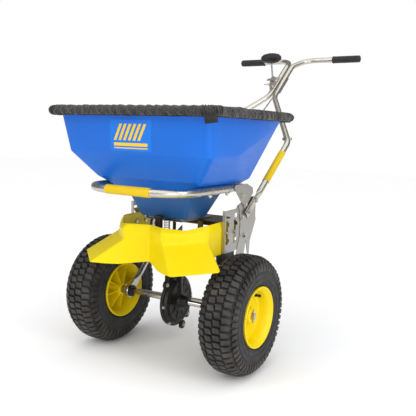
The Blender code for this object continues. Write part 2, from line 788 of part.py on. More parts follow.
# ---------------------------------------------------------------- gearbox and rotor
def make_gearbox(look, chassis):
    """Two half casings that meet at CASE_SPLIT_X and hold the crown gear and the pinion."""
    centre = (0, 0, AXLE_Z)
    tower_x = 0.0030
    tower_top = 0.2980
    flange = (0.0750, 0.0690)
    left_shell = [(CASE_SPLIT_X + 0.003, 0), (CASE_SPLIT_X + 0.003, flange[0]), (0.0075, flange[0])]
    left_shell += [(0.0065, flange[1]), (0.0005, 0.0640), (-0.0020, 0.0540), (-0.0020, 0.0160)]
    left_shell += [(-0.0160, 0.0150), (-0.0160, 0)]
    right_shell = [(CASE_SPLIT_X - 0.003, 0), (CASE_SPLIT_X - 0.003, flange[0]), (0.0165, flange[0])]
    right_shell += [(0.0175, flange[1]), (0.0245, 0.0650), (0.0280, 0.0550), (0.0280, 0.0200)]
    right_shell += [(0.0350, 0.0165), (0.0560, 0.0150), (0.0560, 0)]
    for name, sign in mirrored_names("gearbox_case"):
        shell = right_shell if sign > 0 else left_shell
        case = add_object(name, turned(shell, centre, "X", 28), look["black"], chassis)
        tower = [(AXLE_Z + 0.02, 0), (AXLE_Z + 0.02, 0.0275), (tower_top, 0.0250), (tower_top, 0)]
        tower = turned(tower, (tower_x, 0, 0), "Z", 20)
        boolean(case, add_cutter(name + "_tower", tower, chassis), "UNION")
        if sign > 0:
            lobes = bmesh.new()
            for y, z, radius in CASE_LOBES:
                disc(CASE_SPLIT_X - 0.005, CASE_SPLIT_X + 0.008, radius, (0, y, z), "X", 16, lobes)
            boolean(case, add_cutter(name + "_lobes", lobes, chassis), "UNION")
        room = [(0.0045, 0), (0.0045, 0.0560), (0.0205, 0.0560), (0.0205, 0)]
        boolean(case, add_cutter(name + "_gear_room", turned(room, centre, "X", 24), chassis))
        low, high = AXLE_Z + 0.012, tower_top - 0.012
        room = disc(low, high, 0.0190, (0, 0, 0), "Z", 18)
        boolean(case, add_cutter(name + "_shaft_room", room, chassis))
        way = disc(AXLE_Z + 0.02, tower_top + 0.02, SHAFT_R + GAP, (0, 0, 0), "Z", 16)
        bmesh.ops.rotate(way, matrix=Matrix.Rotation(0.07, 3, "Z"), verts=way.verts)
        boolean(case, add_cutter(name + "_shaft_way", way, chassis))
        way = disc(-0.08, 0.08, AXLE_R + GAP, centre, "X", 20)
        bmesh.ops.rotate(way, cent=centre, matrix=Matrix.Rotation(0.065, 3, "X"), verts=way.verts)
        boolean(case, add_cutter(name + "_axle_way", way, chassis))
        low, high = sorted((CASE_SPLIT_X - sign * 0.10, CASE_SPLIT_X + sign * GAP / 2))
        boolean(case, add_cutter(name + "_split", box((low, -0.12, 0.05), (high, 0.12, 0.35)), chassis))
    stay = bmesh.new()
    route = [(0, 0.0285, 0.2750), (0, 0.1380, 0.2750), (0, 0.1430, 0.3980)]
    sizes = [(0.0110, 0.0025)] * 3
    points = filleted(route, (0.020,), 4)
    loft(tube_rings(points, [sizes[0]] * len(points), (1, 0, 0), 8), bm=stay)
    add_object("gearbox_stay", stay, look["sheet"], chassis)


def crown_gear_mesh():
    """A disc with square-cut teeth on its face, which look at the rotor shaft."""
    centre = Vector((0, 0, AXLE_Z))
    bm = ring_solid(0.0135, 0.0190, AXLE_R + GAP, 0.0530, centre, "X", 40)
    return bm


def gear_teeth_mesh():
    bm = bmesh.new()
    for tooth in range(GEAR_TEETH):
        turn = Matrix.Rotation(2 * math.pi * (tooth + 0.5) / GEAR_TEETH, 4, "X")
        part = box((0.0103, -0.0011, 0.0400), (0.0140, 0.0011, 0.0520))
        bmesh.ops.transform(part, matrix=Matrix.Translation((0, 0, AXLE_Z)) @ turn, verts=part.verts)
        mesh = bpy.data.meshes.new("tooth")
        part.to_mesh(mesh)
        part.free()
        bm.from_mesh(mesh)
        bpy.data.meshes.remove(mesh)
    return bm


def pinion_mesh():
    """A spur-like bevel pinion drawn as one toothed outline round its bore."""
    root = PINION_PITCH_R - 0.0030
    tip = PINION_PITCH_R + 0.0014
    half = 0.0012
    outer = []
    for tooth in range(PINION_TEETH):
        angle = 2 * math.pi * tooth / PINION_TEETH
        for radius, side in ((root, -1), (tip, -1), (tip, 1), (root, 1)):
            offset = math.asin(half / radius) * side
            outer.append((radius * math.cos(angle + offset), radius * math.sin(angle + offset)))
    inner = [arc((0, 0), SHAFT_R + GAP, 0, 360, len(outer))[i] for i in range(len(outer))]
    low, high = AXLE_Z + 0.0400, AXLE_Z + 0.0520
    rings = [
        [(x, y, low) for x, y in outer],
        [(x, y, high) for x, y in outer],
        [(x, y, high) for x, y in inner],
        [(x, y, low) for x, y in inner],
    ]
    return loft(rings, closed=True)


def make_gears(look, axle, rotor):
    gear = add_object("crown_gear", crown_gear_mesh(), look["nylon"], axle)
    boolean(gear, add_cutter("crown_gear_teeth", gear_teeth_mesh(), axle), "UNION")
    add_object("pinion", pinion_mesh(), look["zinc"], rotor)


def make_rotor(look, rotor):
    """The upright shaft, the spreading impeller and the agitator in the hopper's neck."""
    shaft = disc(AXLE_Z + 0.030, 0.4720, SHAFT_R, (0, 0, 0), "Z", 14)
    shaft = add_object("rotor_shaft", shaft, look["black_steel"], rotor)
    hub = [
        (0.3360, SHAFT_R + GAP),
        (0.3360, 0.0150),
        (0.3400, 0.1000),
        (0.3430, 0.1000),
        (0.3430, 0.0170),
        (0.3700, 0.0120),
        (0.3700, SHAFT_R + GAP),
    ]
    impeller = add_object("impeller", turned(hub, (0, 0, 0), "Z", 32), look["black"], rotor)
    vanes = bmesh.new()
    outline = ((0.0150, 0.3415), (0.0950, 0.3415), (0.0930, 0.3720), (0.0150, 0.3620))
    for number in range(6):
        turn = Matrix.Rotation(math.radians(60 * number + 20), 4, "Z")
        part = plate(outline, -0.0012, 0.0012)
        bmesh.ops.transform(part, matrix=turn, verts=part.verts)
        mesh = bpy.data.meshes.new("vane")
        part.to_mesh(mesh)
        part.free()
        vanes.from_mesh(mesh)
        bpy.data.meshes.remove(mesh)
    boolean(impeller, add_cutter("impeller_vanes", vanes, rotor), "UNION")
    arm = filleted([(-0.0400, 0, 0.4550), (0, 0, 0.4480), (0.0400, 0, 0.4550)], (0.02,), 2)
    agitator = add_object("agitator", rod(arm, 0.0030, (0, 0, 1), 8), look["zinc"], rotor)
    hub = ring_solid(0.4400, 0.4560, SHAFT_R + GAP, 0.0095, (0, 0, 0), "Z", 16)
    boolean(agitator, add_cutter("agitator_hub", hub, rotor), "UNION")
    way = disc(0.43, 0.48, SHAFT_R + GAP, (0, 0, 0), "Z", 16)
    boolean(agitator, add_cutter("agitator_way", way, rotor))


# ---------------------------------------------------------------- gate and its control
def make_gate(look, gate):
    """The blade that shuts the two ports, with an arm to the rear for the control rod."""
    outline = (
        (-0.0560, -0.0520),
        (0.0560, -0.0520),
        (0.0560, 0.0850),
        (-0.0200, 0.0980),
        (-0.0240, GATE_TAB_Y),
        (-0.0410, GATE_TAB_Y),
        (-0.0450, 0.0980),
        (-0.0560, 0.0850),
    )
    blade = add_object("gate", slab(outline, GATE_Z, GATE_Z + SHEET), look["sheet"], gate)
    tab = box((-0.0410, GATE_TAB_Y - SHEET, GATE_Z + 0.001), (-0.0240, GATE_TAB_Y, 0.4260))
    boolean(blade, add_cutter("gate_tab", tab, gate), "UNION")
    cuts = bmesh.new()
    reach = SHAFT_R + 0.0015
    box((-reach, -GATE_TRAVEL - reach, 0.40), (reach, reach, 0.42), cuts)
    for x, y in PORT_XY:
        disc(0.40, 0.42, PORT_R, (x, y - GATE_TRAVEL, 0), "Z", 16, cuts)
    boolean(blade, add_cutter("cut_gate_ports", cuts, gate))


def strap(points, halves, ends=(0.0, 0.0)):
    """The outline, in Y and Z, of a bent flat bar: its middle line, its half widths, its end overhangs."""
    points = [Vector(point) for point in points]
    points[0] = points[0] + (points[0] - points[1]).normalized() * ends[0]
    points[-1] = points[-1] + (points[-1] - points[-2]).normalized() * ends[1]
    near, far = [], []
    for i, (point, half) in enumerate(zip(points, halves)):
        along = (points[min(i + 1, len(points) - 1)] - points[max(i - 1, 0)]).normalized()
        side = Vector((-along.y, along.x)) * half
        near.append(tuple(point + side))
        far.append(tuple(point - side))
    return near + far[::-1]


def make_lever(look, chassis, lever, link):
    """The shut-off lever with its barrel knob, and the rod that it pulls."""
    run = Vector((-0.2755, 0.9613))
    top = Vector(LEVER_PIVOT) + run * 0.0450
    outline = strap((top, LEVER_PIVOT, ROD_PIN), (0.0040, 0.0075, 0.0055), (0.0, 0.0060))
    low, high = LEVER_X - 0.0012, LEVER_X + 0.0012
    arm = add_object("control_lever", plate(outline, low, high), look["sheet"], lever)
    knob_at = Vector(LEVER_PIVOT) + run * 0.1007
    stem = [(LEVER_X, *(Vector(LEVER_PIVOT) + run * reach)) for reach in (0.0340, 0.0960)]
    boolean(arm, add_cutter("lever_stem", rod(stem, 0.0033, (1, 0, 0), 10), lever), "UNION")
    holes = bmesh.new()
    disc(-0.04, -0.02, 0.0034, (0, *LEVER_PIVOT), "X", 12, holes)
    disc(-0.04, -0.02, 0.0026, (0, *ROD_PIN), "X", 10, holes)
    boolean(arm, add_cutter("cut_lever_pins", holes, lever))
    half = 0.0380
    knob = [(-half, 0), (-half, 0.0105), (-half * 0.80, 0.0150), (-half * 0.25, 0.0190)]
    knob += [(-reach, radius) for reach, radius in knob[::-1]]
    knob = turned(knob, (LEVER_X, *knob_at), "X", 8)
    knob = add_object("lever_knob", knob, look["black"], lever)
    well = [(LEVER_X, *(Vector(LEVER_PIVOT) + run * reach)) for reach in (0.0700, 0.0964)]
    boolean(knob, add_cutter("cut_knob_well", rod(well, 0.0037, (1, 0, 0), 10), lever))
    make_bracket(look, chassis)
    make_control_rod(look, lever, link)


def make_control_rod(look, lever, link):
    """A straight rod from the lever down to the gate's tab. Its lower pivot is left open."""
    start = Vector((GATE_TAB_Y + 0.0040, 0.4213))
    route = [(ROD_X, *start), (ROD_X, *ROD_PIN)]
    bar = add_object("control_rod", rod(route, 0.0025, (1, 0, 0), 8), look["steel"], link)
    low, high = ROD_X - 0.0027, ROD_X + 0.0027
    eye = ring_solid(low, high, 0.0026, 0.0060, (0, *ROD_PIN), "X", 14)
    boolean(bar, add_cutter("rod_eye", eye, link), "UNION")
    way = disc(low - 0.002, high + 0.002, 0.0026, (0, *ROD_PIN), "X", 14)
    boolean(bar, add_cutter("cut_rod_eye", way, link))
    inner = LEVER_X + 0.0012 + GAP
    pin = [(low - GAP - 0.0022, 0), (low - GAP - 0.0022, 0.0045), (low - GAP, 0.0045), (low - GAP, 0.0022)]
    pin += [(inner, 0.0022), (inner, 0.0042), (inner + 0.0020, 0.0042), (inner + 0.0020, 0)]
    add_object("rod_pin", turned(pin, (0, *ROD_PIN), "X", 12), look["zinc"], lever)


def twin_point(along, out):
    """A point (y, z) by its reach along the twin tubes and its height off them to the front."""
    run = Vector((TWIN_HIGH[0] - TWIN_LOW[0], TWIN_HIGH[1] - TWIN_LOW[1])).normalized()
    point = Vector(TWIN_LOW) + run * along + Vector((-run.y, run.x)) * out
    return tuple(point)


def twin_outline(points):
    return [twin_point(along, out) for along, out in points]


def make_bracket(look, chassis):
    """The folded bracket beside the left twin tube, its clamp plate, pivot stud and stop screw."""
    web_x = LEVER_X + 0.0055
    face = HANDLE_R + GAP
    web = ((0.033, -0.0120), (0.112, -0.0120), (0.110, 0.0100), (0.095, 0.0236))
    web += ((0.085, 0.0325), (0.060, 0.0325), (0.047, 0.0233))
    bracket = plate(twin_outline(web), web_x, web_x + SHEET)
    bracket = add_object("lever_bracket", bracket, look["sheet"], chassis)
    foot = ((0.036, face), (0.036, face + SHEET), (0.108, face + SHEET), (0.108, face))
    foot = plate(twin_outline(foot), web_x + 0.001, -0.0040)
    boolean(bracket, add_cutter("bracket_foot", foot, chassis), "UNION")
    shelf = ((0.0575, 0.0300), (0.0575, 0.0320), (0.0695, 0.0320), (0.0695, 0.0300))
    shelf = plate(twin_outline(shelf), web_x - 0.0120, web_x + 0.001)
    boolean(bracket, add_cutter("bracket_shelf", shelf, chassis), "UNION")
    stop_at = twin_point(0.0540, 0.0165)
    holes = bmesh.new()
    disc(-0.04, -0.01, 0.0034, (0, *LEVER_PIVOT), "X", 12, holes)
    disc(-0.04, -0.01, 0.0029, (0, *stop_at), "X", 10, holes)
    boolean(bracket, add_cutter("cut_bracket", holes, chassis))
    outer = LEVER_X - 0.0012 - GAP
    bolt = [(outer - 0.0030, 0), (outer - 0.0030, 0.0055), (outer, 0.0055), (outer, 0.0030)]
    bolt += [(LEVER_X + 0.0012 + GAP, 0.0030), (LEVER_X + 0.0012 + GAP, 0.0055)]
    bolt += [(web_x - GAP, 0.0055), (web_x - GAP, 0.0030), (web_x + SHEET, 0.0030), (web_x + SHEET, 0)]
    add_object("lever_pivot", turned(bolt, (0, *LEVER_PIVOT), "X", 12), look["zinc"], chassis)
    screw = [(web_x + SHEET, 0), (web_x + SHEET, 0.0025), (web_x - GAP, 0.0025), (web_x - GAP, 0.0048)]
    screw += [(web_x - 0.0070, 0.0048), (web_x - 0.0070, 0.0025)]
    screw += [(web_x - 0.0250, 0.0025), (web_x - 0.0250, 0)]
    add_object("stop_screw", turned(screw, (0, *stop_at), "X", 12), look["zinc"], chassis)
    back = ((0.034, -face - SHEET), (0.034, -face), (0.130, -face), (0.130, -face - SHEET))
    back = plate(twin_outline(back), -0.0180, 0.0180)
    add_object("clamp_plate", back, look["sheet"], chassis)


# ---------------------------------------------------------------- deflector
DEFLECTOR_LEVELS = {
    "lip": (
        (0.0, -0.1120, 0.4000),
        (0.0580, -0.1440, 0.4020),
        (0.1080, -0.1030, 0.3945),
        (0.1470, -0.0500, 0.4070),
        (0.1470, 0.0830, 0.4110),
    ),
    "top": (
        (0.0, -0.1200, 0.3880),
        (0.0660, -0.1570, 0.3880),
        (0.1140, -0.1120, 0.3840),
        (0.1545, -0.0560, 0.3900),
        (0.1545, 0.0830, 0.3900),
    ),
    "bend": (
        (0.0, -0.1185, 0.3580),
        (0.0650, -0.1485, 0.3580),
        (0.1110, -0.1080, 0.3600),
        (0.1545, -0.0620, 0.3650),
        (0.1545, 0.0830, 0.3650),
    ),
    "hem": (
        (0.0, -0.1170, 0.2985),
        (0.1260, -0.2100, 0.2950),
        (0.1770, -0.1650, 0.2980),
        (0.2280, -0.1200, 0.3010),
    ),
    "side_hem": ((0.1545, -0.0310, 0.3160), (0.1545, 0.0830, 0.3160)),
}


def make_deflector(look, deflector):
    """A moulded skirt: upright round the rotor, then flared to both sides of a middle valley."""
    bm = bmesh.new()
    rows = {}
    for name, points in DEFLECTOR_LEVELS.items():
        rows[name] = [bm.verts.new(point) for point in points]
    lip, top, bend, hem, side = (rows[n] for n in ("lip", "top", "bend", "hem", "side_hem"))
    for upper, lower in ((lip, top), (top, bend), (bend[:4], hem)):
        for i in range(len(lower) - 1):
            bm.faces.new((upper[i], upper[i + 1], lower[i + 1], lower[i]))
    bm.faces.new((bend[3], side[0], hem[3]))
    bm.faces.new((bend[3], bend[4], side[1], side[0]))
    made = add_object("deflector", bm, look["yellow"], deflector)
    mirror = made.modifiers.new("mirror", "MIRROR")
    mirror.merge_threshold = 0.0001
    thick = made.modifiers.new("thickness", "SOLIDIFY")
    thick.thickness = DEFLECTOR_WALL
    thick.offset = -1
    thick.use_even_offset = True
    holes = bmesh.new()
    for sign in (-1, 1):
        low, high = sorted((sign * 0.1450, sign * 0.1600))
        for y in SLOT_YS:
            disc(low, high, 0.0034, (0, y, SLOT_Z), "X", 10, holes)
    boolean(made, add_cutter("cut_deflector_bolts", holes, deflector))
    for place, y in zip(("front", "rear"), SLOT_YS):
        for name, sign in mirrored_names("height_bolt_" + place):
            profile = [
                (0.1478, 0),
                (0.1478, 0.0062),
                (0.1512, 0.0062),
                (0.1512, 0.0030),
                (SIDE_X + SHEET + GAP, 0.0030),
                (SIDE_X + SHEET + GAP, 0.0062),
                (SIDE_X + SHEET + 0.0050, 0.0062),
                (SIDE_X + SHEET + 0.0050, 0.0030),
                (SIDE_X + SHEET + 0.0085, 0.0030),
                (SIDE_X + SHEET + 0.0085, 0),
            ]
            profile = [(sign * reach, size) for reach, size in profile]
            add_object(name, turned(profile, (0, y, SLOT_Z), "X", 10), look["zinc"], deflector)


# ---------------------------------------------------------------- assembly
def make_looks():
    return {
        "blue": material("hopper blue", (0.01, 0.12, 0.72), 0.42),
        "fabric": material("cover fabric", (0.045, 0.042, 0.040), 0.9),
        "yellow": material("moulded yellow", (0.90, 0.72, 0.01), 0.38),
        "steel": material("stainless tube", (0.62, 0.60, 0.56), 0.28, 1.0),
        "sheet": material("stainless sheet", (0.50, 0.50, 0.50), 0.4, 1.0),
        "dull_steel": material("deck steel", (0.32, 0.30, 0.28), 0.5, 1.0),
        "black_steel": material("black steel", (0.03, 0.03, 0.03), 0.45, 0.6),
        "zinc": material("zinc plate", (0.55, 0.55, 0.52), 0.35, 1.0),
        "black": material("black nylon", (0.015, 0.014, 0.013), 0.4),
        "nylon": material("white nylon", (0.75, 0.73, 0.66), 0.45),
        "rubber": material("grip rubber", (0.02, 0.02, 0.02), 0.6),
        "tyre": material("tyre rubber", (0.022, 0.022, 0.024), 0.75),
    }


def main():
    clear_scene()
    material("cutter", (1, 0, 0), 0.5)
    look = make_looks()
    machine = add_empty("machine", (0, 0, 0))
    chassis = add_empty("chassis", (0, 0, 0), machine)
    cover = add_empty("cover_lift", (0, 0, RIM_TOP_Z), machine)
    axle = add_empty("axle_line", (0, 0, AXLE_Z), machine)
    free_wheel = add_empty("free_wheel_line", (0, 0, AXLE_Z), machine)
    rotor = add_empty("rotor_line", (0, 0, 0), machine)
    lever = add_empty("lever_line", (0, *LEVER_PIVOT), machine)
    link = add_empty("link_line", (0, *ROD_PIN), lever)
    gate = add_empty("gate_line", (0, 0, GATE_Z), machine)
    deflector = add_empty("deflector_line", (0, 0, SLOT_Z), machine)
    make_hopper(look, chassis)
    make_cover(look, cover)
    make_hoop(look, chassis)
    make_side_plates(look, chassis)
    make_legs(look, chassis)
    make_gussets(look, chassis)
    make_handle(look, chassis)
    make_base(look, chassis)
    make_stand(look, chassis)
    make_wheel("left", -1, look, free_wheel)
    make_wheel("right", 1, look, axle)
    make_axle(look, axle)
    make_bushes(look, chassis)
    make_gearbox(look, chassis)
    make_gears(look, axle, rotor)
    make_rotor(look, rotor)
    make_gate(look, gate)
    make_lever(look, chassis, lever, link)
    make_deflector(look, deflector)


main()
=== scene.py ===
"""Looks of the walk-behind spreader: smooth shells, tubes, tyres, cloth cover, fasteners and materials."""

import functools
import json
from math import cos, pi, radians, sin, tan

import bmesh
import bpy
from mathutils import Matrix, Vector, noise

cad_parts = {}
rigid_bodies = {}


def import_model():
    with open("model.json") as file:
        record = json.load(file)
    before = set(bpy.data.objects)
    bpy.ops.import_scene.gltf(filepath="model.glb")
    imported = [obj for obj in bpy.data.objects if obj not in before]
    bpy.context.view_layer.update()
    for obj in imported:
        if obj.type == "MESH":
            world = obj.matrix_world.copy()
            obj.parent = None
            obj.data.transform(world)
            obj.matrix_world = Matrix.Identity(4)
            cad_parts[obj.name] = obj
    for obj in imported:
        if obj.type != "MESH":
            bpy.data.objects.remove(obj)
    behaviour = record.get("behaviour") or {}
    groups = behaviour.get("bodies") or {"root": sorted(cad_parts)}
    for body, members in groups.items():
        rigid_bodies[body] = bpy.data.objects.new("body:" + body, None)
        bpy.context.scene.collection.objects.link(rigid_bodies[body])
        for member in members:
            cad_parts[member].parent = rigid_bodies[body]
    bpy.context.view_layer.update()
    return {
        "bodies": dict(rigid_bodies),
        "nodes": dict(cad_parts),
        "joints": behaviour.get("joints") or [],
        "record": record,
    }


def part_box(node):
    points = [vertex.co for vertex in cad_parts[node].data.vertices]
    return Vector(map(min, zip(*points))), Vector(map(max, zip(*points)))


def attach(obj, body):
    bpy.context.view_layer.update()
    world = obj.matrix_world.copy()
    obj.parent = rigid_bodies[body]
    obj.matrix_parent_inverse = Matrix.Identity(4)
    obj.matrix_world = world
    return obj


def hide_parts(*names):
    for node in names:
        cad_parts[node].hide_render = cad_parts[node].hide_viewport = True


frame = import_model()
NODES = frame["nodes"]
AXLE_LOW, AXLE_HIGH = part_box("axle")
SHIFT = Vector((0.0, (AXLE_LOW[1] + AXLE_HIGH[1]) / 2, 0.0))

# ---- dimensions, from the ground under the axle
AXLE_Z = 0.165
TRACK_HALF = 0.2329
WHEEL_R = 0.165
RIM_TOP_Z = 0.706
RIM = (0.2422, -0.213, 0.1865, 0.019)
CREASE = (0.2325, -0.19, 0.184, 0.019)
SHOULDER = (0.172, -0.1455, 0.1375, 0.016)
THROAT = (0.105, -0.085, 0.084, 0.013)
OUTLET = (0.077, -0.06, 0.052, 0.01)
CREASE_Z = 0.593
TURN_Y = -0.06
LIP = 0.02
WALL = 0.0035
HANDLE_R = 0.0095
HANDLE_X = 0.1735
SIDE_X = 0.1635
SHEET = 0.002
GRIP_Y, GRIP_Z = 0.837, 0.9466
SIDES = ((1, "right"), (-1, "left"))
TWIN_LOW = Vector((0.609, 0.793))
TWIN_HIGH = Vector((0.758, 0.916))
LEVER_X = -0.028
LEVER_PIVOT = Vector((0.6775, 0.8401))
HANDLE_FOOT = Vector((HANDLE_X, 0.112, 0.419))
HANDLE_BEND = Vector((HANDLE_X, 0.385, 0.631))
HOOP_X, HOOP_Z = 0.157, 0.501
AMBIENT = 0.25
CAMERA_AT = Vector((0.9491, -1.3719, 0.653))
CAMERA_YAW, CAMERA_PITCH, CAMERA_ROLL = -0.5479, -0.1281, 0.0306
LENS_MM, SENSOR_MM = 50.439, 36


# ---- node materials
class Nodes:
    """A Principled material with short helpers for its procedural inputs."""

    def __init__(self, name, slot, metallic=0.0, sheen=0.0, specular=0.5):
        self.material = bpy.data.materials.new(name)
        self.material.use_nodes = True
        self.slot = slot
        self.tree = self.material.node_tree
        self.shader = self.tree.nodes["Principled BSDF"]
        weights = {"Metallic": metallic, "Sheen Weight": sheen, "Specular IOR Level": specular}
        for key, value in weights.items():
            self.shader.inputs[key].default_value = value
        self.place = self.tree.nodes.new("ShaderNodeTexCoord").outputs["Object"]
        self.heights = []

    def feed(self, socket, value):
        """Links another node's output to a socket, or sets the socket's value."""
        if hasattr(value, "is_output"):
            self.tree.links.new(value, socket)
        elif hasattr(value, "__len__") and len(value) < len(socket.default_value):
            socket.default_value = (*value, 1.0)
        else:
            socket.default_value = value

    def node(self, kind, inputs=(), **settings):
        made = self.tree.nodes.new("ShaderNode" + kind)
        for key, value in settings.items():
            setattr(made, key, value)
        for key, value in dict(inputs).items():
            self.feed(made.inputs[key], value)
        return made

    def parts(self):
        """The X, Y and Z of the place."""
        return self.node("SeparateXYZ", {"Vector": self.place}).outputs

    def stretched(self, scale):
        return self.node("Mapping", {"Vector": self.place, "Scale": scale}).outputs[0]

    def noise(self, scale, detail=4.0, rough=0.55, stretch=None, distort=0.0):
        vector = self.stretched(stretch) if stretch else self.place
        inputs = {"Vector": vector, "Scale": scale, "Detail": detail, "Roughness": rough}
        inputs["Distortion"] = distort
        return self.node("TexNoise", inputs).outputs["Fac"]

    def span(self, value, low, high, start=0.3, end=0.7):
        inputs = {"Value": value, "From Min": start, "From Max": end, "To Min": low, "To Max": high}
        return self.node("MapRange", inputs).outputs[0]

    def mix(self, part, a, b, blend="MIX"):
        return self.node("Mix", {0: part, 6: a, 7: b}, data_type="RGBA", blend_type=blend).outputs[2]

    def maths(self, operation, a, b=0.0):
        return self.node("Math", {0: a, 1: b}, operation=operation).outputs[0]

    def colour(self, value):
        self.feed(self.shader.inputs["Base Color"], value)

    def rough(self, value):
        self.tree.links.new(value, self.shader.inputs["Roughness"])

    def bump(self, height, depth, strength=1.0):
        inputs = {"Height": height, "Distance": depth, "Strength": strength}
        if self.heights:
            inputs["Normal"] = self.heights[-1]
        made = self.node("Bump", inputs).outputs[0]
        self.heights.append(made)
        self.tree.links.new(made, self.shader.inputs["Normal"])


def moulded(name, slot, base, deep, low, high, grain=0.00012, specular=0.3):
    """Moulded plastic: soft mottling, a fine orange-peel skin and faint scuffs."""
    m = Nodes(name, slot, specular=specular)
    cloud = m.noise(9.0, 5.0)
    fleck = m.noise(160.0, 3.0)
    blend = m.mix(m.span(cloud, 0.0, 1.0), deep, base)
    m.colour(m.mix(m.span(fleck, 0.0, 0.12), blend, tuple(min(1.0, c * 1.1 + 0.002) for c in base)))
    scuff = m.noise(40.0, 8.0, 0.75, stretch=(1.0, 0.35, 2.4), distort=1.5)
    m.rough(m.span(scuff, low, high))
    m.bump(m.noise(900.0, 2.0), grain)
    m.bump(m.noise(26.0, 2.0), 0.0007, 0.35)
    return m


def neck_shade_and_dust(m):
    """The neck under the hoop is darker towards its outlet: painted shade under the hopper, with a faint grey
    tint of granule dust.
    """
    height = m.parts()[2]
    colour = m.shader.inputs["Base Color"].links[0].from_socket
    # painted shade: below about z 0.5 the colour is multiplied darker, with a noisy edge, and a little grey
    # dust is mixed in
    wear_and_shade = m.maths("ADD", height, m.maths("MULTIPLY", m.noise(30.0, 4.0), 0.012))
    shaded_dusty_colour = m.mix(1.0, colour, (0.9, 0.66, 0.46), "MULTIPLY")
    shaded_dusty_colour = m.mix(0.03, shaded_dusty_colour, (0.6, 0.56, 0.5))
    m.colour(m.mix(m.span(wear_and_shade, 1.0, 0.0, 0.484, 0.512), colour, shaded_dusty_colour))


def metal(name, base, low, high, brush, scale, tint=0.85):
    """Steel with brushed streaks along the unstretched direction, handling marks and faint tarnish."""
    m = Nodes(name, name, metallic=1.0)
    streak = m.noise(scale, 6.0, 0.7, stretch=brush)
    cloud = m.noise(14.0, 4.0, 0.6)
    dark = tuple(c * tint for c in base)
    m.colour(m.mix(m.span(streak, 0.0, 1.0), m.mix(m.span(cloud, 0.0, 1.0), dark, base), base))
    wear_and_shade = m.maths("ADD", m.maths("MULTIPLY", streak, 0.6), m.maths("MULTIPLY", cloud, 0.4))
    m.rough(m.span(wear_and_shade, low, high))
    m.bump(streak, 0.00008)
    return m


def make_materials():
    looks = {}
    for key, name, slot, *settings in (
        ("blue", "hopper plastic", "hopper blue", (0.0, 0.13, 0.6), (0.0, 0.114, 0.54), 0.34, 0.48, 0.00016),
        ("yellow", "shield plastic", "moulded yellow", (0.79, 0.61, 0.0), (0.76, 0.575, 0.0), 0.3, 0.42,
         0.00012, 0.2),
        ("rim", "rim plastic", "moulded yellow", (0.79, 0.61, 0.0), (0.74, 0.55, 0.0), 0.32, 0.46, 0.00018),
        ("foam", "sleeve yellow", "moulded yellow", (0.7, 0.48, 0.001), (0.65, 0.43, 0.001), 0.45, 0.6,
         0.0002),
        ("nylon", "black nylon", "black nylon", (0.016, 0.015, 0.014), (0.01, 0.009, 0.008), 0.3, 0.48,
         0.00015),
        ("white", "white nylon", "white nylon", (0.76, 0.74, 0.68), (0.7, 0.68, 0.61), 0.35, 0.5),
        ("print blue", "print blue", "hopper blue", (0.0, 0.17, 0.7), (0.0, 0.155, 0.64), 0.32, 0.42),
        ("print yellow", "print yellow", "moulded yellow", (0.85, 0.56, 0.02), (0.8, 0.5, 0.015), 0.32, 0.42),
    ):
        looks[key] = moulded(name, slot, *settings)
    for key, name, *settings in (
        ("tube", "stainless tube", (0.56, 0.53, 0.47), 0.2, 0.34, (40.0, 3.0, 40.0), 20.0),
        ("plate", "stainless sheet", (0.46, 0.445, 0.42), 0.3, 0.46, (60.0, 60.0, 4.0), 16.0),
        ("zinc", "zinc plate", (0.52, 0.5, 0.45), 0.26, 0.44, (6.0, 6.0, 6.0), 70.0),
        # painted shade: the base plate's steel is a dark brown-grey copy of the sheet steel, for the shade
        # under the hopper
        ("deck", "deck steel", (0.17, 0.145, 0.12), 0.36, 0.55, (30.0, 3.0, 30.0), 20.0, 0.7),
        ("black steel", "black steel", (0.07, 0.07, 0.07), 0.32, 0.5, (8.0, 8.0, 1.0), 40.0),
    ):
        looks[key] = metal(name, *settings)
    # painted shade on the hopper's neck, with a faint dust tint
    neck_shade_and_dust(looks["blue"])
    looks["rubber"] = rubber("grip rubber", "grip rubber", (0.011, 0.011, 0.011), 0.5, 0.68)
    looks["tyre"] = carcass_look()
    looks["tread"] = rubber("tread rubber", "tyre rubber", (0.012, 0.0095, 0.008), 0.42, 0.62, dust=0.12)
    looks["cloth"] = cloth_look()
    looks["web"] = rubber("black webbing", "cover fabric", (0.004, 0.004, 0.004), 0.6, 0.8)
    return looks


def rubber(name, slot, base, low, high, dust=0.0):
    """Dull black rubber or webbing. dust pales its worn patches."""
    m = Nodes(name, slot, specular=0.45)
    cloud = m.noise(22.0, 5.0, 0.65)
    pale = (base[0] + 0.012 + dust * 0.38, base[1] + 0.012 + dust * 0.34, base[2] + 0.012 + dust * 0.3)
    m.colour(m.mix(m.span(cloud, 0.0, 1.0, 0.42, 0.8), base, pale))
    return rubber_skin(m, low, high)


def rubber_skin(m, low, high):
    m.rough(m.span(m.noise(60.0, 4.0), low, high))
    m.bump(m.noise(1200.0, 2.0), 0.00012)
    m.bump(m.noise(90.0, 3.0), 0.0003, 0.5)
    return m


def carcass_look():
    """Sidewall rubber, with the floor of the tread grooves darker than the wall: painted shade between the
    tread blocks.
    """
    m = Nodes("tyre rubber", "tyre rubber", specular=0.45)
    parts = m.parts()
    y = m.maths("SUBTRACT", parts[1], SHIFT.y)
    z = m.maths("SUBTRACT", parts[2], AXLE_Z)
    radius = m.maths("SQRT", m.maths("ADD", m.maths("MULTIPLY", y, y), m.maths("MULTIPLY", z, z)))
    cloud = m.noise(22.0, 5.0, 0.65)
    wall = m.mix(m.span(cloud, 0.0, 1.0, 0.4, 0.75), (0.011, 0.011, 0.0115), (0.028, 0.028, 0.03))
    # painted shade: beyond a radius of about 0.145 m the carcass turns near black
    m.colour(m.mix(m.span(radius, 0.0, 1.0, 0.14, 0.146), wall, (0.0035, 0.003, 0.0026)))
    return rubber_skin(m, 0.48, 0.68)


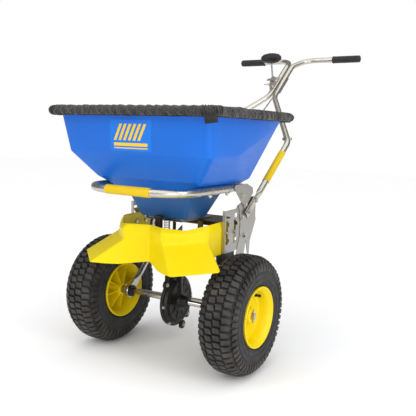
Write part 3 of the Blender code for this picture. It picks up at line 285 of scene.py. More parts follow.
def cloth_look():
    """Coated woven cloth: a fine crossed weave, painted shade in the folds of the gathers and along the hem,
    and a dull sheen.
    """
    m = Nodes("cover fabric", "cover fabric", sheen=0.25, specular=0.35)
    waves = []
    for direction in ("X", "Y"):
        inputs = {"Vector": m.place, "Scale": 420.0, "Distortion": 0.6, "Detail": 1.0}
        waves.append(m.node("TexWave", inputs, bands_direction=direction).outputs["Fac"])
    weave = m.maths("MULTIPLY", waves[0], waves[1])
    cloud = m.noise(26.0, 6.0, 0.65)
    gather = m.noise(95.0, 3.0, 0.55, stretch=(1.0, 1.0, 0.3), distort=0.8)
    base = m.mix(m.span(cloud, 0.0, 1.0), (0.014, 0.0115, 0.0105), (0.027, 0.023, 0.021))
    lit = m.mix(m.span(weave, 0.0, 0.3, 0.0, 1.0), base, (0.05, 0.043, 0.039))
    # painted shade: the low parts of the gather pattern, which also drives the bump, are darkened as creases
    # in shade
    shaded_folds = m.mix(m.span(gather, 0.8, 0.0, 0.36, 0.5), lit, (0.005, 0.0045, 0.004))
    # painted shade: the band darkens towards the hem, below about z 0.7, where the cloth curls under
    height = m.parts()[2]
    m.colour(m.mix(m.span(height, 0.75, 0.0, 0.6915, 0.7), shaded_folds, (0.004, 0.0035, 0.003)))
    m.rough(m.span(cloud, 0.52, 0.72))
    m.bump(weave, 0.00025)
    m.bump(gather, 0.011, 0.9)
    return m


LOOK = make_materials()


# ---- mesh helpers
def sharpen(bm, angle):
    for face in bm.faces:
        face.smooth = True
    for edge in bm.edges:
        edge.smooth = len(edge.link_faces) == 2 and edge.calc_face_angle(0.0) < radians(angle)


def mesh_of(bm, name):
    mesh = bpy.data.meshes.new(name)
    bm.to_mesh(mesh)
    bm.free()
    return mesh


def add_object(name, data):
    made = bpy.data.objects.new(name, data)
    bpy.context.scene.collection.objects.link(made)
    return made


def piece(name, bm, look, body, stands_for="", angle=35):
    """Turns a mesh laid out from the axle's ground point into a named piece on a body."""
    bmesh.ops.recalc_face_normals(bm, faces=bm.faces)
    sharpen(bm, angle)
    bmesh.ops.translate(bm, verts=bm.verts, vec=SHIFT)
    made = add_object(name, mesh_of(bm, name))
    made.data.materials.append(LOOK[look].material)
    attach(made, body)
    if stands_for:
        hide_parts(stands_for)
    return made


def grid(bm, rows, closed=True, caps=False):
    """Faces between rows of points. closed joins each row's end to its start."""
    made = [[bm.verts.new(point) for point in row] for row in rows]
    count = len(made[0])
    for upper, lower in zip(made, made[1:]):
        for i in range(count if closed else count - 1):
            j = (i + 1) % count
            corners = [upper[i], upper[j], lower[j], lower[i]]
            corners = [v for k, v in enumerate(corners) if v not in corners[:k]]
            if len(corners) > 2:
                bm.faces.new(corners)
    if caps:
        bm.faces.new(made[0])
        bm.faces.new(made[-1][::-1])
    return made


def filleted(points, radii, steps=6):
    """A polyline with each inner corner turned into an arc of about the given radius."""
    points = [Vector(p) for p in points]
    out = [points[0]]
    for i in range(1, len(points) - 1):
        before, corner, after = points[i - 1], points[i], points[i + 1]
        radius = radii[i - 1]
        a, b = (before - corner), (after - corner)
        half = a.angle(b, pi) / 2
        if radius <= 0 or half > radians(89.5):
            out += [corner.copy() for _ in range(steps + 1)]
            continue
        reach = min(radius / tan(half), a.length * 0.48, b.length * 0.48)
        start, end = corner + a.normalized() * reach, corner + b.normalized() * reach
        middle = corner + (a.normalized() + b.normalized()).normalized() * (reach / cos(half))
        arm, other = (start - middle).normalized(), (end - middle).normalized()
        size = (start - middle).length
        turned = [arm.slerp(other, step / steps).normalized() for step in range(steps + 1)]
        out += [middle + direction * size for direction in turned]
    out.append(points[-1])
    return out


def frames_along(route, side):
    """Each point with two directions across the route, carried along without twist."""
    route = [Vector(p) for p in route]
    side = Vector(side)
    out = []
    for i, point in enumerate(route):
        before, after = route[max(i - 1, 0)], route[min(i + 1, len(route) - 1)]
        along = (after - before).normalized()
        side = (side - along * side.dot(along)).normalized()
        out.append((point, side.copy(), along.cross(side)))
    return out


def circle(centre, first, second, radius, steps):
    turns = [2 * pi * k / steps for k in range(steps)]
    return [centre + (first * cos(t) + second * sin(t)) * radius for t in turns]


def tube(bm, route, sizes, side=(1, 0, 0), sides=24, caps=True):
    """A bar along a route. sizes is one radius, or one (half, half) pair for each point."""
    if not hasattr(sizes, "__len__"):
        sizes = [(sizes, sizes)] * len(route)
    rows = []
    for (point, first, second), (a, b) in zip(frames_along(route, side), sizes):
        turns = [2 * pi * k / sides for k in range(sides)]
        rows.append([point + first * (a * cos(t)) + second * (b * sin(t)) for t in turns])
    grid(bm, rows, caps=caps)
    return bm


def hollow_tube(bm, route, inner, outer, side=(1, 0, 0), sides=24):
    """An open tube with a wall, whose ends are rounded over a little."""
    frames = frames_along(route, side)
    start = [(frames[0], inner), (frames[0], outer - 0.0006)]
    end = [(frames[-1], outer - 0.0006), (frames[-1], inner)]
    loop = start + [(frame, outer) for frame in frames] + end
    rows = [circle(*frame, radius, sides) for frame, radius in loop]
    grid(bm, rows + [rows[0]])
    bmesh.ops.remove_doubles(bm, verts=bm.verts, dist=1e-6)
    return bm


X, Y, Z = Vector((1, 0, 0)), Vector((0, 1, 0)), Vector((0, 0, 1))
AXES = {"X": (Y, Z, X), "Y": (Z, X, Y), "Z": (X, Y, Z)}


def lathe(bm, profile, centre, axis="X", steps=64):
    """Turns a closed profile of (reach along the axis, radius) pairs round an axis."""
    first, second, along = AXES[axis] if isinstance(axis, str) else axis
    centre = Vector(centre)
    points = [*profile, profile[0]]
    grid(bm, [circle(centre + along * reach, first, second, radius, steps) for reach, radius in points])
    bmesh.ops.remove_doubles(bm, verts=bm.verts, dist=1e-6)
    return bm


def rounded(profile, radius, steps=3):
    """A closed profile with every corner rounded by the same small radius."""
    flat = [(u, r, 0.0) for u, r in profile]
    loop = [flat[-1]] + flat + [flat[0]]
    path = filleted(loop, [radius] * len(flat), steps)[1:-1]
    return [(p.x, max(p.y, 0.0)) for p in path]


def round_edges(bm, edges, width, segments, profile):
    bmesh.ops.bevel(
        bm, geom=edges, offset=width, segments=segments, profile=profile, affect="EDGES", clamp_overlap=True
    )


def soft_box(bm, low, high, radius, turn):
    """A block with bevelled edges, moved into place by a matrix."""
    low, high = Vector(low), Vector(high)
    made = bmesh.new()
    bmesh.ops.create_cube(made, size=1.0)
    for v in made.verts:
        v.co = Vector([(low[i] + high[i]) / 2 + v.co[i] * (high[i] - low[i]) for i in range(3)])
    bmesh.ops.bevel(made, geom=list(made.edges), offset=radius, segments=1, affect="EDGES", profile=0.6)
    bmesh.ops.transform(made, matrix=turn, verts=made.verts)
    join(bm, made)


def join(bm, other):
    mesh = mesh_of(other, "part")
    bm.from_mesh(mesh)
    bpy.data.meshes.remove(mesh)


def aim(direction):
    """Two directions across a line, and the line itself."""
    along = Vector(direction).normalized()
    first = along.orthogonal().normalized()
    return first, along.cross(first), along


def hex_bolt(bm, at, direction, size=0.0065, head=0.0045, washer=0.0, stud=0.0):
    """A hexagon head on a washer, standing on a face at a point, with a stud end if it is a nut."""
    at = Vector(at)
    axis = aim(direction)
    if washer:
        lathe(bm, rounded([(0, 0), (0, washer), (0.0012, washer), (0.0012, 0)], 0.0003, 1), at, axis, 24)
    base = at + axis[2] * (0.0012 if washer else 0.0)
    lathe(bm, [(0, 0), (0, size), (head * 0.8, size), (head, size * 0.86), (head, 0)], base, axis, 6)
    if stud:
        end = [(stud * 0.9, size * 0.5), (stud, size * 0.4), (stud, 0)]
        lathe(bm, [(0, 0), (0, size * 0.5), *end], base, axis, 14)


def finish_node(name, look):
    """Gives a carried-over node its material, and a small bevel on its edges."""
    node = NODES[name]
    if not node.material_slots:
        node.data.materials.append(LOOK[look].material)
    for slot in node.material_slots:
        slot.link = "OBJECT"
        slot.material = LOOK[look].material
    node.modifiers.new("weld", "WELD").merge_threshold = 0.00001
    edge = bevel_edges(node, 0.0004, 30)
    edge.harden_normals = True


def bevel_edges(target, width, angle):
    edge = target.modifiers.new("edge", "BEVEL")
    edge.width = width
    edge.segments = 2
    edge.limit_method = "ANGLE"
    edge.angle_limit = radians(angle)
    return edge


def thicken(target, thickness):
    """Gives a sheet its thickness, on the side away from its normals."""
    wall = target.modifiers.new("thickness", "SOLIDIFY")
    wall.thickness = thickness
    wall.offset = -1
    return wall


# ---- hopper and cover
ARC_STEPS = 8
SIDE_CUTS = ((6, 9), (14,), (9, 6), (14,))


def rounded_rectangle(half_x, front, rear, radius, turn, heights):
    """Points round a rounded rectangle, anticlockwise from above, with the long sides broken at turn."""
    low, high = front + radius, rear - radius
    corners = ((1, low, -90), (1, high, 0), (-1, high, 90), (-1, low, 180))
    arcs = []
    for sign, y, start in corners:
        x = sign * (half_x - radius)
        turns = [radians(start + 90 * k / ARC_STEPS) for k in range(ARC_STEPS + 1)]
        arcs.append([(x + radius * cos(t), y + radius * sin(t)) for t in turns])
    breaks = ([(half_x, turn)], [], [(-half_x, turn)], [])
    path = []
    for number, arc in enumerate(arcs):
        path += arc
        stops = [arc[-1], *breaks[number], arcs[(number + 1) % 4][0]]
        for a, b, count in zip(stops, stops[1:], SIDE_CUTS[number]):
            parts = [k / count for k in range(1, count + 1)]
            path += [(a[0] + (b[0] - a[0]) * t, a[1] + (b[1] - a[1]) * t) for t in parts]
        path.pop()
    return [Vector((x, y, heights(y))) for x, y in path]


def crease_height(y):
    """The crease is level at the front, and climbs towards the rim behind the turn of the sides."""
    return CREASE_Z + max(0.0, (y - TURN_Y) / 0.247) * (RIM_TOP_Z - 0.024 - CREASE_Z)


COLUMN_CUTS = (5, 1, 1, 1, 1, 1, 5, 1, 1, 1, 1, 1, 4, 1, 1, 1, 1, 1, 5)


def hopper_columns(inset):
    """Lines down the hopper's wall, from rim to outlet, rounded at each level that they cross."""
    levels = (
        (RIM, TURN_Y, lambda y: RIM_TOP_Z - 0.012),
        (CREASE, TURN_Y, crease_height),
        (SHOULDER, 0.09, lambda y: 0.526),
        (THROAT, 0.05, lambda y: 0.478),
        (OUTLET, 0.02, lambda y: 0.415 + 1.3 * inset),
    )
    rings = []
    for (half_x, front, rear, radius), turn, heights in levels:
        rings.append(rounded_rectangle(half_x - inset, front + inset, rear - inset, radius, turn, heights))
    return [subdivided(filleted(corners, (0.011, 0.01, 0.009), 5)) for corners in zip(*rings)]


def subdivided(path):
    """The same polyline with its long stretches cut evenly."""
    out = [path[0]]
    for a, b, count in zip(path, path[1:], COLUMN_CUTS):
        out += [a.lerp(b, k / count) for k in range(1, count + 1)]
    return out


def rim_path(offset, z):
    half_x, front, rear, radius = RIM
    radius = max(0.006, radius + max(0.0, offset) * 0.6)
    return rounded_rectangle(half_x + offset, front - offset, rear + offset, radius, TURN_Y, lambda y: z)


def make_hopper():
    outside = [list(row) for row in zip(*hopper_columns(0.0))]
    inside = [list(row) for row in zip(*hopper_columns(WALL))]
    bow(outside)
    section = ((0.0012, 0.012), (LIP - 0.0012, 0.012), (LIP, 0.0105), (LIP, 0.0015))
    section += ((LIP - 0.0015, 0.0), (-WALL, 0.0))
    lip = [rim_path(offset, RIM_TOP_Z - drop) for offset, drop in section]
    bm = bmesh.new()
    grid(bm, outside[::-1] + lip + inside)
    ends = [e for e in bm.edges if e.is_boundary]
    bmesh.ops.holes_fill(bm, edges=ends, sides=0)
    return piece("hopper_shell", bm, "blue", "chassis", "hopper", angle=50)


def crown(x, z, half_x, middle, half_z, rise):
    """How far a moulded panel stands proud of flat: most at its middle, nothing at its edges."""
    return rise * max(0.0, 1 - (x / half_x) ** 2) * max(0.0, 1 - ((z - middle) / half_z) ** 2)


def upper_crown(x, z):
    return crown(x, z, 0.215, 0.645, 0.048, 0.0016)


def bow(rows):
    """The front panels, above and below the crease, crown outward a little."""
    for row in rows:
        for point in row:
            if point.z > 0.6 and point.y < -0.15 and abs(point.x) < 0.2:
                point.y -= upper_crown(point.x, point.z)
            if 0.535 < point.z < 0.585 and point.y < -0.14:
                point.y -= crown(point.x, point.z, 0.19, 0.56, 0.028, 0.0022)


def make_cover():
    """A fitted cloth cap: gathered band on an elastic hem, and a top that sags inside the rim.

    The section runs from the hem up and inward: reach past the rim, height, and how loose the cloth is.
    """
    section = (
        (0.0212, 0.6935, 0.3), (0.0226, 0.6918, 0.5), (0.025, 0.6914, 0.7), (0.027, 0.693, 0.9),
        (0.0284, 0.696, 1.0), (0.0292, 0.7, 1.0), (0.0296, 0.704, 1.0), (0.0282, 0.7082, 1.0),
        (0.0255, 0.7118, 1.0), (0.0215, 0.7145, 0.9), (0.0165, 0.7158, 0.8), (0.0105, 0.716, 0.7),
        (0.0035, 0.7154, 0.6), (-0.005, 0.7142, 0.5), (-0.016, 0.7126, 0.45), (-0.03, 0.711, 0.4),
        (-0.048, 0.7095, 0.35), (-0.07, 0.7082, 0.3), (-0.095, 0.7072, 0.25), (-0.125, 0.7066, 0.2),
        (-0.155, 0.7063, 0.15),
    )
    rows = []
    for offset, z, loose in section:
        ring = dense(rim_path(offset, z), 9)
        count = len(ring)
        row = []
        for i, point in enumerate(ring):
            before, after = ring[i - 1], ring[(i + 1) % count]
            out = Vector((after.y - before.y, before.x - after.x, 0)).normalized()
            wave = pleat(i / count, z)
            lift = noise.noise(Vector((point.x * 22, point.y * 22, 3.0))) * 0.0022
            fold = noise.noise(Vector((point.x * 55, point.y * 55, z * 130))) * 0.0012
            shove = out * ((wave * 0.0036 + fold) * loose)
            row.append(point + shove + Vector((0, 0, (wave * 0.0016 + lift) * loose)))
        rows.append(row)
    bm = bmesh.new()
    made = grid(bm, rows)
    middle = bm.verts.new(Vector((0.0, -0.013, 0.7062)))
    last = made[-1]
    for i in range(len(last)):
        bm.faces.new((last[i], last[(i + 1) % len(last)], middle))
    cover = piece("cover_cloth", bm, "cloth", "cover", "hopper_cover", angle=180)
    thicken(cover, 0.001)
    hem = bmesh.new()
    ring = dense(rim_path(0.0222, 0.6912), 2)
    route = [p + Vector((0, 0, 0.001 * pleat(i / len(ring), 0.69))) for i, p in enumerate(ring)]
    tube(hem, route + [route[0]], 0.0019, (0, 0, 1), 8, caps=False)
    bmesh.ops.remove_doubles(hem, verts=hem.verts, dist=1e-5)
    piece("cover_hem", hem, "web", "cover", angle=180)
    tab = bmesh.new()
    at = Matrix.Translation(Vector((0.2545, -0.233, 0.688))) @ Matrix.Rotation(radians(36), 4, "Z")
    at = at @ Matrix.Rotation(radians(-9), 4, "Y")
    soft_box(tab, (-0.015, -0.0022, -0.013), (0.015, 0.0014, 0.011), 0.0009, at)
    soft_box(tab, (-0.0135, -0.0034, -0.0115), (0.0135, -0.0016, -0.006), 0.0006, at)
    piece("cover_tab", tab, "web", "cover")


def pleat(part, z):
    """Uneven gathers round the band: 0 is the cloth at rest, 1 a full fold outward."""
    turn = part * 2 * pi
    place = Vector((cos(turn) * 3.1, sin(turn) * 3.1, z * 9))
    speed = 104 * turn + 7.0 * noise.noise(place * 1.3) + (z - 0.7) * 170
    size = 0.55 + 0.65 * noise.noise(place * 2.7 + Vector((5, 0, 0)))
    return sin(speed) * size + 0.6 * noise.noise(place * 9.0)


def dense(ring, cuts):
    """A closed ring with each stretch cut into equal parts."""
    out = []
    for i, point in enumerate(ring):
        after = ring[(i + 1) % len(ring)]
        for k in range(cuts):
            out.append(point.lerp(after, k / cuts))
    return out


def on_panel(x, z, lift):
    """A point over the upper front panel, at a small height off it."""
    top, bottom = Vector((0, RIM[1], RIM_TOP_Z - 0.012)), Vector((0, CREASE[1], CREASE_Z))
    t = (z - top.z) / (bottom.z - top.z)
    return Vector((x, top.y + (bottom.y - top.y) * t - upper_crown(x, z) - lift, z - lift * 0.2))


def panel_patch(name, look, shapes, lift):
    """Thin printed four-sided shapes, leaning a little to the right, that follow the panel."""
    bm = bmesh.new()
    for (x0, z0), (x1, z1), (x2, z2), (x3, z3) in shapes:
        rows = []
        for s in (k / 8 for k in range(9)):
            row = []
            for t in (k / 8 for k in range(9)):
                z = (z0 * (1 - s) + z1 * s) * (1 - t) + (z3 * (1 - s) + z2 * s) * t
                x = (x0 * (1 - s) + x1 * s) * (1 - t) + (x3 * (1 - s) + x2 * s) * t + (z - 0.68) * 0.15
                row.append(on_panel(x, z, lift))
            rows.append(row)
        grid(bm, rows, closed=False)
    piece(name, bm, look, "chassis", angle=180)


def upright(x0, x1, z0, z1, lean=0.0):
    return (x0, z0), (x1, z0), (x1 + lean, z1), (x0 + lean, z1)


def make_decal():
    """A plain printed panel: six slanted bars over two rules."""
    x0, x1, z0, z1 = -0.0635, 0.07, 0.6, 0.68
    panel_patch("panel_print", "print blue", [upright(x0, x1, z0, z1)], 0.0003)
    rules = ((0.0065, 0.0095), (0.0135, 0.0215))
    bars = [upright(x0 + 0.012, x1 - 0.012, z0 + low, z0 + high) for low, high in rules]
    for number in range(6):
        foot = x0 + 0.012 + number * 0.0155
        bars.append(upright(foot, foot + 0.0085, 0.628, 0.67, 0.02))
    panel_patch("panel_bars", "print yellow", bars, 0.0006)


# ---- frame
def make_hoop():
    front = -0.221
    corners = [(HOOP_X, 0.06), (HOOP_X, front), (-HOOP_X, front), (-HOOP_X, 0.06)]
    bend = filleted([(x, y, HOOP_Z) for x, y in corners], (0.095, 0.095), 18)
    ends = [(HOOP_X, 0.112, HOOP_Z), (HOOP_X, 0.09, HOOP_Z)]
    route = [Vector(p) for p in ends] + bend + [Vector((-x, y, z)) for x, y, z in ends[::-1]]
    flat = [(0.0035, 0.0105), (0.0045, 0.0112)]
    sizes = flat + [(0.0111, 0.0111)] * (len(route) - 4) + flat[::-1]
    bm = tube(bmesh.new(), route, sizes, (1, 0, 0), 28)
    piece("hoop_bar", bm, "tube", "chassis", "hoop_tube")
    sleeve = bmesh.new()
    wrapped = [p for p in bend if -0.066 < p.x < 0.084 and p.y < -0.2]
    hollow_tube(sleeve, wrapped, 0.01125, 0.0124, (0, 0, 1), 28)
    piece("hoop_grip", sleeve, "foam", "chassis", "hoop_sleeve")


def handle_route():
    """The right handle tube: up from the frame, in to run beside its twin, and out to the grip."""
    twin_x = 0.0108
    corners = [HANDLE_FOOT, HANDLE_BEND, (twin_x, *TWIN_LOW), (twin_x, *TWIN_HIGH)]
    corners += [(0.034, GRIP_Y, GRIP_Z), (0.2474, GRIP_Y, GRIP_Z)]
    return filleted(corners, (0.07, 0.08, 0.045, 0.058), 12)


def mirrored(points, sign):
    return [Vector((sign * x, y, z)) for x, y, z in points]


def make_handle():
    bend = handle_route()
    start = bend[0]
    along = (bend[1] - start).normalized()
    stations = ((0.0, 0.0025, 0.0125), (0.083, 0.0025, 0.0125), (0.09, 0.005, 0.0118))
    stations += ((0.101, HANDLE_R, HANDLE_R),)
    points = [start + along * reach for reach, _, _ in stations] + bend[1:]
    sizes = [(a, b) for _, a, b in stations] + [(HANDLE_R, HANDLE_R)] * (len(bend) - 1)
    for sign, side in SIDES:
        bm = tube(bmesh.new(), mirrored(points, sign), sizes, (1, 0, 0), 24)
        piece("push_tube_" + side, bm, "tube", "chassis", "handle_tube_" + side)
        ends = mirrored([HANDLE_FOOT.lerp(HANDLE_BEND, t) for t in (0.434, 0.436, 0.839, 0.841)], sign)
        bm = hollow_tube(bmesh.new(), ends, HANDLE_R + 0.0003, 0.0108, (1, 0, 0), 24)
        piece("tube_sleeve_" + side, bm, "foam", "chassis", "handle_sleeve_" + side)
        profile = [(0.2514, 0), (0.2514, 0.0098), (0.2506, 0.0114), (0.2485, 0.0124)]
        reach = 0.246
        while reach > 0.156:
            profile += [(reach, 0.013), (reach - 0.0016, 0.013)]
            profile += [(reach - 0.002, 0.0126), (reach - 0.0028, 0.0126)]
            reach -= 0.0032
        profile += [(0.152, 0.0131), (0.15, 0.0136), (0.1468, 0.0136), (0.145, 0.0126)]
        profile += [(0.145, HANDLE_R + 0.0003), (0.2476, HANDLE_R + 0.0003), (0.2476, 0)]
        bm = lathe(bmesh.new(), [(sign * u, r) for u, r in profile], (0, GRIP_Y, GRIP_Z), "X", 40)
        piece("hand_grip_" + side, bm, "rubber", "chassis", "grip_" + side, angle=50)


def make_stand():
    foot = HANDLE_R
    corners = [(0.145, 0.021, 0.1586), (0.145, 0.485, foot), (-0.145, 0.485, foot), (-0.145, 0.021, 0.1586)]
    path = filleted(corners, (0.095, 0.095), 18)
    along = (path[1] - path[0]).normalized()
    lead = [path[0] + along * reach for reach in (0.0, 0.03, 0.038, 0.048)]
    tail = mirrored(lead[::-1], -1)
    flat = [(0.0095, 0.0025), (0.0095, 0.0025), (0.0098, 0.006), (HANDLE_R, HANDLE_R)]
    sizes = flat + [(HANDLE_R, HANDLE_R)] * (len(path) - 2) + flat[::-1]
    bm = tube(bmesh.new(), lead + path[1:-1] + tail, sizes, (0, along.z, -along.y), 24)
    piece("stand_bar", bm, "tube", "chassis", "rear_stand")
    stations = (
        ((0.1575, 0.0, AXLE_Z), (0.003, 0.015)),
        ((0.1575, 0.023, 0.1895), (0.003, 0.015)),
        ((0.1572, 0.032, 0.199), (0.0055, 0.0125)),
        ((0.157, 0.04, 0.208), (0.0088, 0.0095)),
        ((0.157, 0.0735, 0.2446), (0.009, 0.0095)),
        ((0.1578, 0.081, 0.256), (0.0065, 0.0115)),
        ((0.1585, 0.088, 0.27), (0.0045, 0.0125)),
        ((0.16, 0.102, 0.305), (0.003, 0.014)),
        ((0.16, 0.118, 0.36), (0.003, 0.014)),
        ((0.16, 0.129, 0.404), (0.003, 0.014)),
    )
    for sign, side in SIDES:
        route = mirrored([place for place, _ in stations], sign)
        bm = tube(bmesh.new(), route, [size for _, size in stations], (1, 0, 0), 24)
        low, high = sorted((sign * 0.1545, sign * 0.1605))
        eye = [(low, 0.0125), (low, 0.0205), (low + 0.001, 0.0215)]
        eye += [(high - 0.001, 0.0215), (high, 0.0205), (high, 0.0125)]
        lathe(bm, eye, (0, 0, AXLE_Z), "X", 40)
        piece("strut_" + side, bm, "tube", "chassis", "leg_strut_" + side)


def make_bend_bolts():
    """A cross bolt with a washer and nut through each handle tube, just above its low bend."""
    bm = bmesh.new()
    for sign in (-1, 1):
        at = Vector((sign * 0.1625, 0.399, 0.6415))
        lathe(bm, [(-0.0155, 0), (-0.0155, 0.0026), (0.0175, 0.0026), (0.0175, 0)], at, "X", 16)
        for face in (-1, 1):
            hex_bolt(bm, at + Vector((face * 0.01, 0, 0)), (face, 0, 0), 0.0055, 0.004, 0.0072)
    piece("bend_bolts", bm, "zinc", "chassis")


def make_fasteners():
    """Bolts, nuts and washers of the frame, which ride with it."""
    outer = SIDE_X + 2 * SHEET + 0.0003
    gusset = outer + SHEET + 0.0003
    leg_low, leg_high, handle = (0.118, 0.36), (0.098, 0.415), (0.128, 0.4314)
    large, small = (0.0066, 0.0048, 0.0088), (0.0062, 0.0045, 0.0082)
    heads = ((outer, leg_high, large), (outer, leg_low, large), (gusset, (0.11, 0.4515), small))
    heads += ((gusset, (0.092, 0.478), small), (HANDLE_X + 0.0027, handle, large))
    for sign, side in SIDES:
        bm = bmesh.new()
        out = Vector((sign, 0, 0))
        for x, place, size in heads:
            hex_bolt(bm, (sign * x, *place), out, *size)
        for place in (leg_high, leg_low, handle):
            hex_bolt(bm, (sign * (SIDE_X - 0.0005), *place), -out, 0.0066, 0.0055, 0.0088, 0.0085)
        piece("frame_bolts_" + side, bm, "zinc", "chassis")
        clips = bmesh.new()
        band = [(-0.005, 0.0113), (-0.005, 0.0119), (0.005, 0.0119), (0.005, 0.0113)]
        for y in (-0.065, 0.025):
            hex_bolt(clips, (sign * HOOP_X, y, 0.4905), (0, 0, -1), 0.0052, 0.0042, 0.007, 0.007)
            lathe(clips, band, (sign * HOOP_X, y, HOOP_Z), "Y", 28)
        piece("hoop_clips_" + side, clips, "zinc", "chassis")


# ---- wheels
def smooth_profile(points, steps=4):
    """A smooth open curve through (reach, radius) points."""
    pts = [Vector((u, r)) for u, r in points]
    pts = [pts[0] * 2 - pts[1]] + pts + [pts[-1] * 2 - pts[-2]]
    out = []
    for i in range(1, len(pts) - 2):
        a, b, c, d = pts[i - 1 : i + 3]
        for k in range(steps):
            t = k / steps
            bend = (a * 2 - b * 5 + c * 4 - d) * t * t
            p = (b * 2 + (c - a) * t + bend + (b * 3 - a - c * 3 + d) * t ** 3) * 0.5
            out.append((p.x, p.y))
    return out + [tuple(pts[-2])]


LUG_HEIGHT = 0.0065
LUG_COUNT = 52
CARCASS = (
    (0.0, 0.1585), (0.02, 0.1579), (0.034, 0.1548), (0.0425, 0.1488), (0.0485, 0.1395),
    (0.052, 0.128), (0.0533, 0.115), (0.0524, 0.101), (0.0502, 0.0905), (0.0478, 0.0862),
)
TYRE_INSIDE = (
    (0.0462, 0.085), (0.0415, 0.0783), (0.031, 0.0741), (0.033, 0.086), (0.048, 0.115), (0.043, 0.142),
    (0.0, 0.153),
)


def make_tyre(side, sign, body):
    """A carcass with three raised rings on each wall, and its tread blocks as a piece of their own."""
    centre = Vector((sign * TRACK_HALF, 0, AXLE_Z))
    half = smooth_profile(CARCASS)
    outer = [(-u, r) for u, r in half[:0:-1]] + half
    inner = list(TYRE_INSIDE) + [(-u, r) for u, r in TYRE_INSIDE[-2::-1]]
    bm = lathe(bmesh.new(), outer + inner, centre, "X", 112)
    for face in (1, -1):
        for radius, reach in ((0.121, 0.053), (0.105, 0.0529), (0.0925, 0.0509)):
            ring = [(face * (reach - 0.0012), radius - 0.0016), (face * (reach + 0.001), radius - 0.0008)]
            ring += [(face * (reach + 0.001), radius + 0.0008), (face * (reach - 0.0012), radius + 0.0016)]
            lathe(bm, ring, centre, "X", 112)
    piece("tyre_tread_" + side, bm, "tyre", body, "tyre_" + side, angle=38)
    bm = bmesh.new()
    step = 2 * pi / LUG_COUNT
    for reach, half_width, shift in ((0.0114, 0.0108, 0), (0.0343, 0.0106, 0.5)):
        for face in (1, -1):
            for number in range(LUG_COUNT):
                lug(bm, centre, face * reach, half_width, (number + shift + 0.25 * (face < 0)) * step)
    for face in (1, -1):
        for number in range(LUG_COUNT):
            shoulder_lug(bm, centre, face, (number + 0.25 * (face < 0)) * step)
    piece("tyre_lugs_" + side, bm, "tread", body, angle=38)


@functools.cache
def carcass_at(reach):
    """Radius of the carcass at a distance from the wheel's middle plane."""
    half = smooth_profile(CARCASS)
    for (u0, r0), (u1, r1) in zip(half, half[1:]):
        if u0 <= abs(reach) <= u1:
            return r0 + (r1 - r0) * (abs(reach) - u0) / (u1 - u0)
    return half[-1][1]


def lug(bm, centre, reach, half_width, turn):
    """One tread block: tapered, skewed, its top LUG_HEIGHT over the carcass."""
    half_length = 0.008
    corners = []
    for height, shrink in ((-0.001, 1.0), (LUG_HEIGHT, 0.84)):
        for du, dv in ((-1, -1), (1, -1), (1, 1), (-1, 1)):
            u = reach + du * half_width * shrink + dv * half_width * 0.16
            radius = carcass_at(u) + height
            angle = turn + dv * half_length * shrink / WHEEL_R
            corners.append(centre + Vector((u, radius * cos(angle), radius * sin(angle))))
    verts = [bm.verts.new(p) for p in corners]
    bm.faces.new(verts[4:])
    for i in range(4):
        j = (i + 1) % 4
        bm.faces.new((verts[i], verts[j], verts[4 + j], verts[4 + i]))


def shoulder_lug(bm, centre, face, turn):
    """A block that wraps from the tread's edge on to the sidewall."""
    path = ((0.046, 0.1448, 0.0052), (0.0502, 0.1356, 0.0042), (0.0526, 0.1265, 0.001))
    rows = []
    for u, r, lift in path:
        normal = Vector((0.75, 0.65)).normalized() if r > 0.14 else Vector((0.97, 0.24))
        row = []
        for dv, level in ((-1, 0), (-0.8, 1), (0.8, 1), (1, 0)):
            spot = Vector((u, r)) + normal * (lift if level else -0.0012)
            angle = turn + dv * 0.0062 / r
            row.append(centre + Vector((face * spot.x, spot.y * cos(angle), spot.y * sin(angle))))
        rows.append(row)
    made = grid(bm, rows, closed=False)
    bm.faces.new(made[0])
    bm.faces.new(made[-1][::-1])


RIM_PROFILE = (
    (0.0533, 0.0839), (0.0533, 0.08), (0.048, 0.0772), (0.042, 0.072), (0.033, 0.069), (0.017, 0.0665),
    (0.014, 0.06), (0.0125, 0.03), (0.016, 0.0235), (0.03, 0.0205), (0.03, 0.0083), (-0.045, 0.0083),
    (-0.045, 0.017), (-0.02, 0.019), (0.004, 0.024), (0.007, 0.062), (-0.03, 0.0675), (-0.042, 0.072),
    (-0.0533, 0.08), (-0.0533, 0.0839), (-0.047, 0.0839), (-0.043, 0.0775), (-0.03, 0.0725), (0.03, 0.0725),
    (0.043, 0.0775), (0.047, 0.0839),
)
STEM_PROFILE = (
    (0.0, 0.0), (0.0, 0.0048), (0.018, 0.0044), (0.019, 0.0036), (0.023, 0.0036), (0.024, 0.0042),
    (0.03, 0.0042), (0.0308, 0.0036), (0.0308, 0.0),
)


def make_rim(side, sign, body):
    """A dished rim with a hub and ribs on its inner side, and the valve stem in its dish."""
    centre = Vector((sign * TRACK_HALF, 0, AXLE_Z))
    profile = [(sign * u, r) for u, r in rounded(RIM_PROFILE, 0.0022, 3)]
    bm = lathe(bmesh.new(), profile, centre, "X", 96)
    rib = ((-0.04, 0.017), (0.005, 0.02), (0.006, 0.066), (-0.026, 0.069))
    add_ribs(bm, rib, 0.0016, sign, centre, 8, 0.2)
    piece("wheel_rim_" + side, bm, "rim", body, "rim_" + side, angle=40)
    stem = [(sign * (0.009 + u), r) for u, r in STEM_PROFILE]
    bm = lathe(bmesh.new(), stem, centre + Vector((0, 0.027, 0.051)), "X", 20)
    piece("stem_" + side, bm, "nylon", body, "valve_stem_" + side)


def add_ribs(bm, outline, half, sign, centre, count, start):
    """Flat plates spaced round an axis along X, each drawn as (reach, radius) points."""
    for number in range(count):
        rib = plate_between(outline, half, sign)
        turn = Matrix.Rotation(number * 2 * pi / count + start, 4, "X")
        bmesh.ops.transform(rib, matrix=Matrix.Translation(centre) @ turn, verts=rib.verts)
        join(bm, rib)


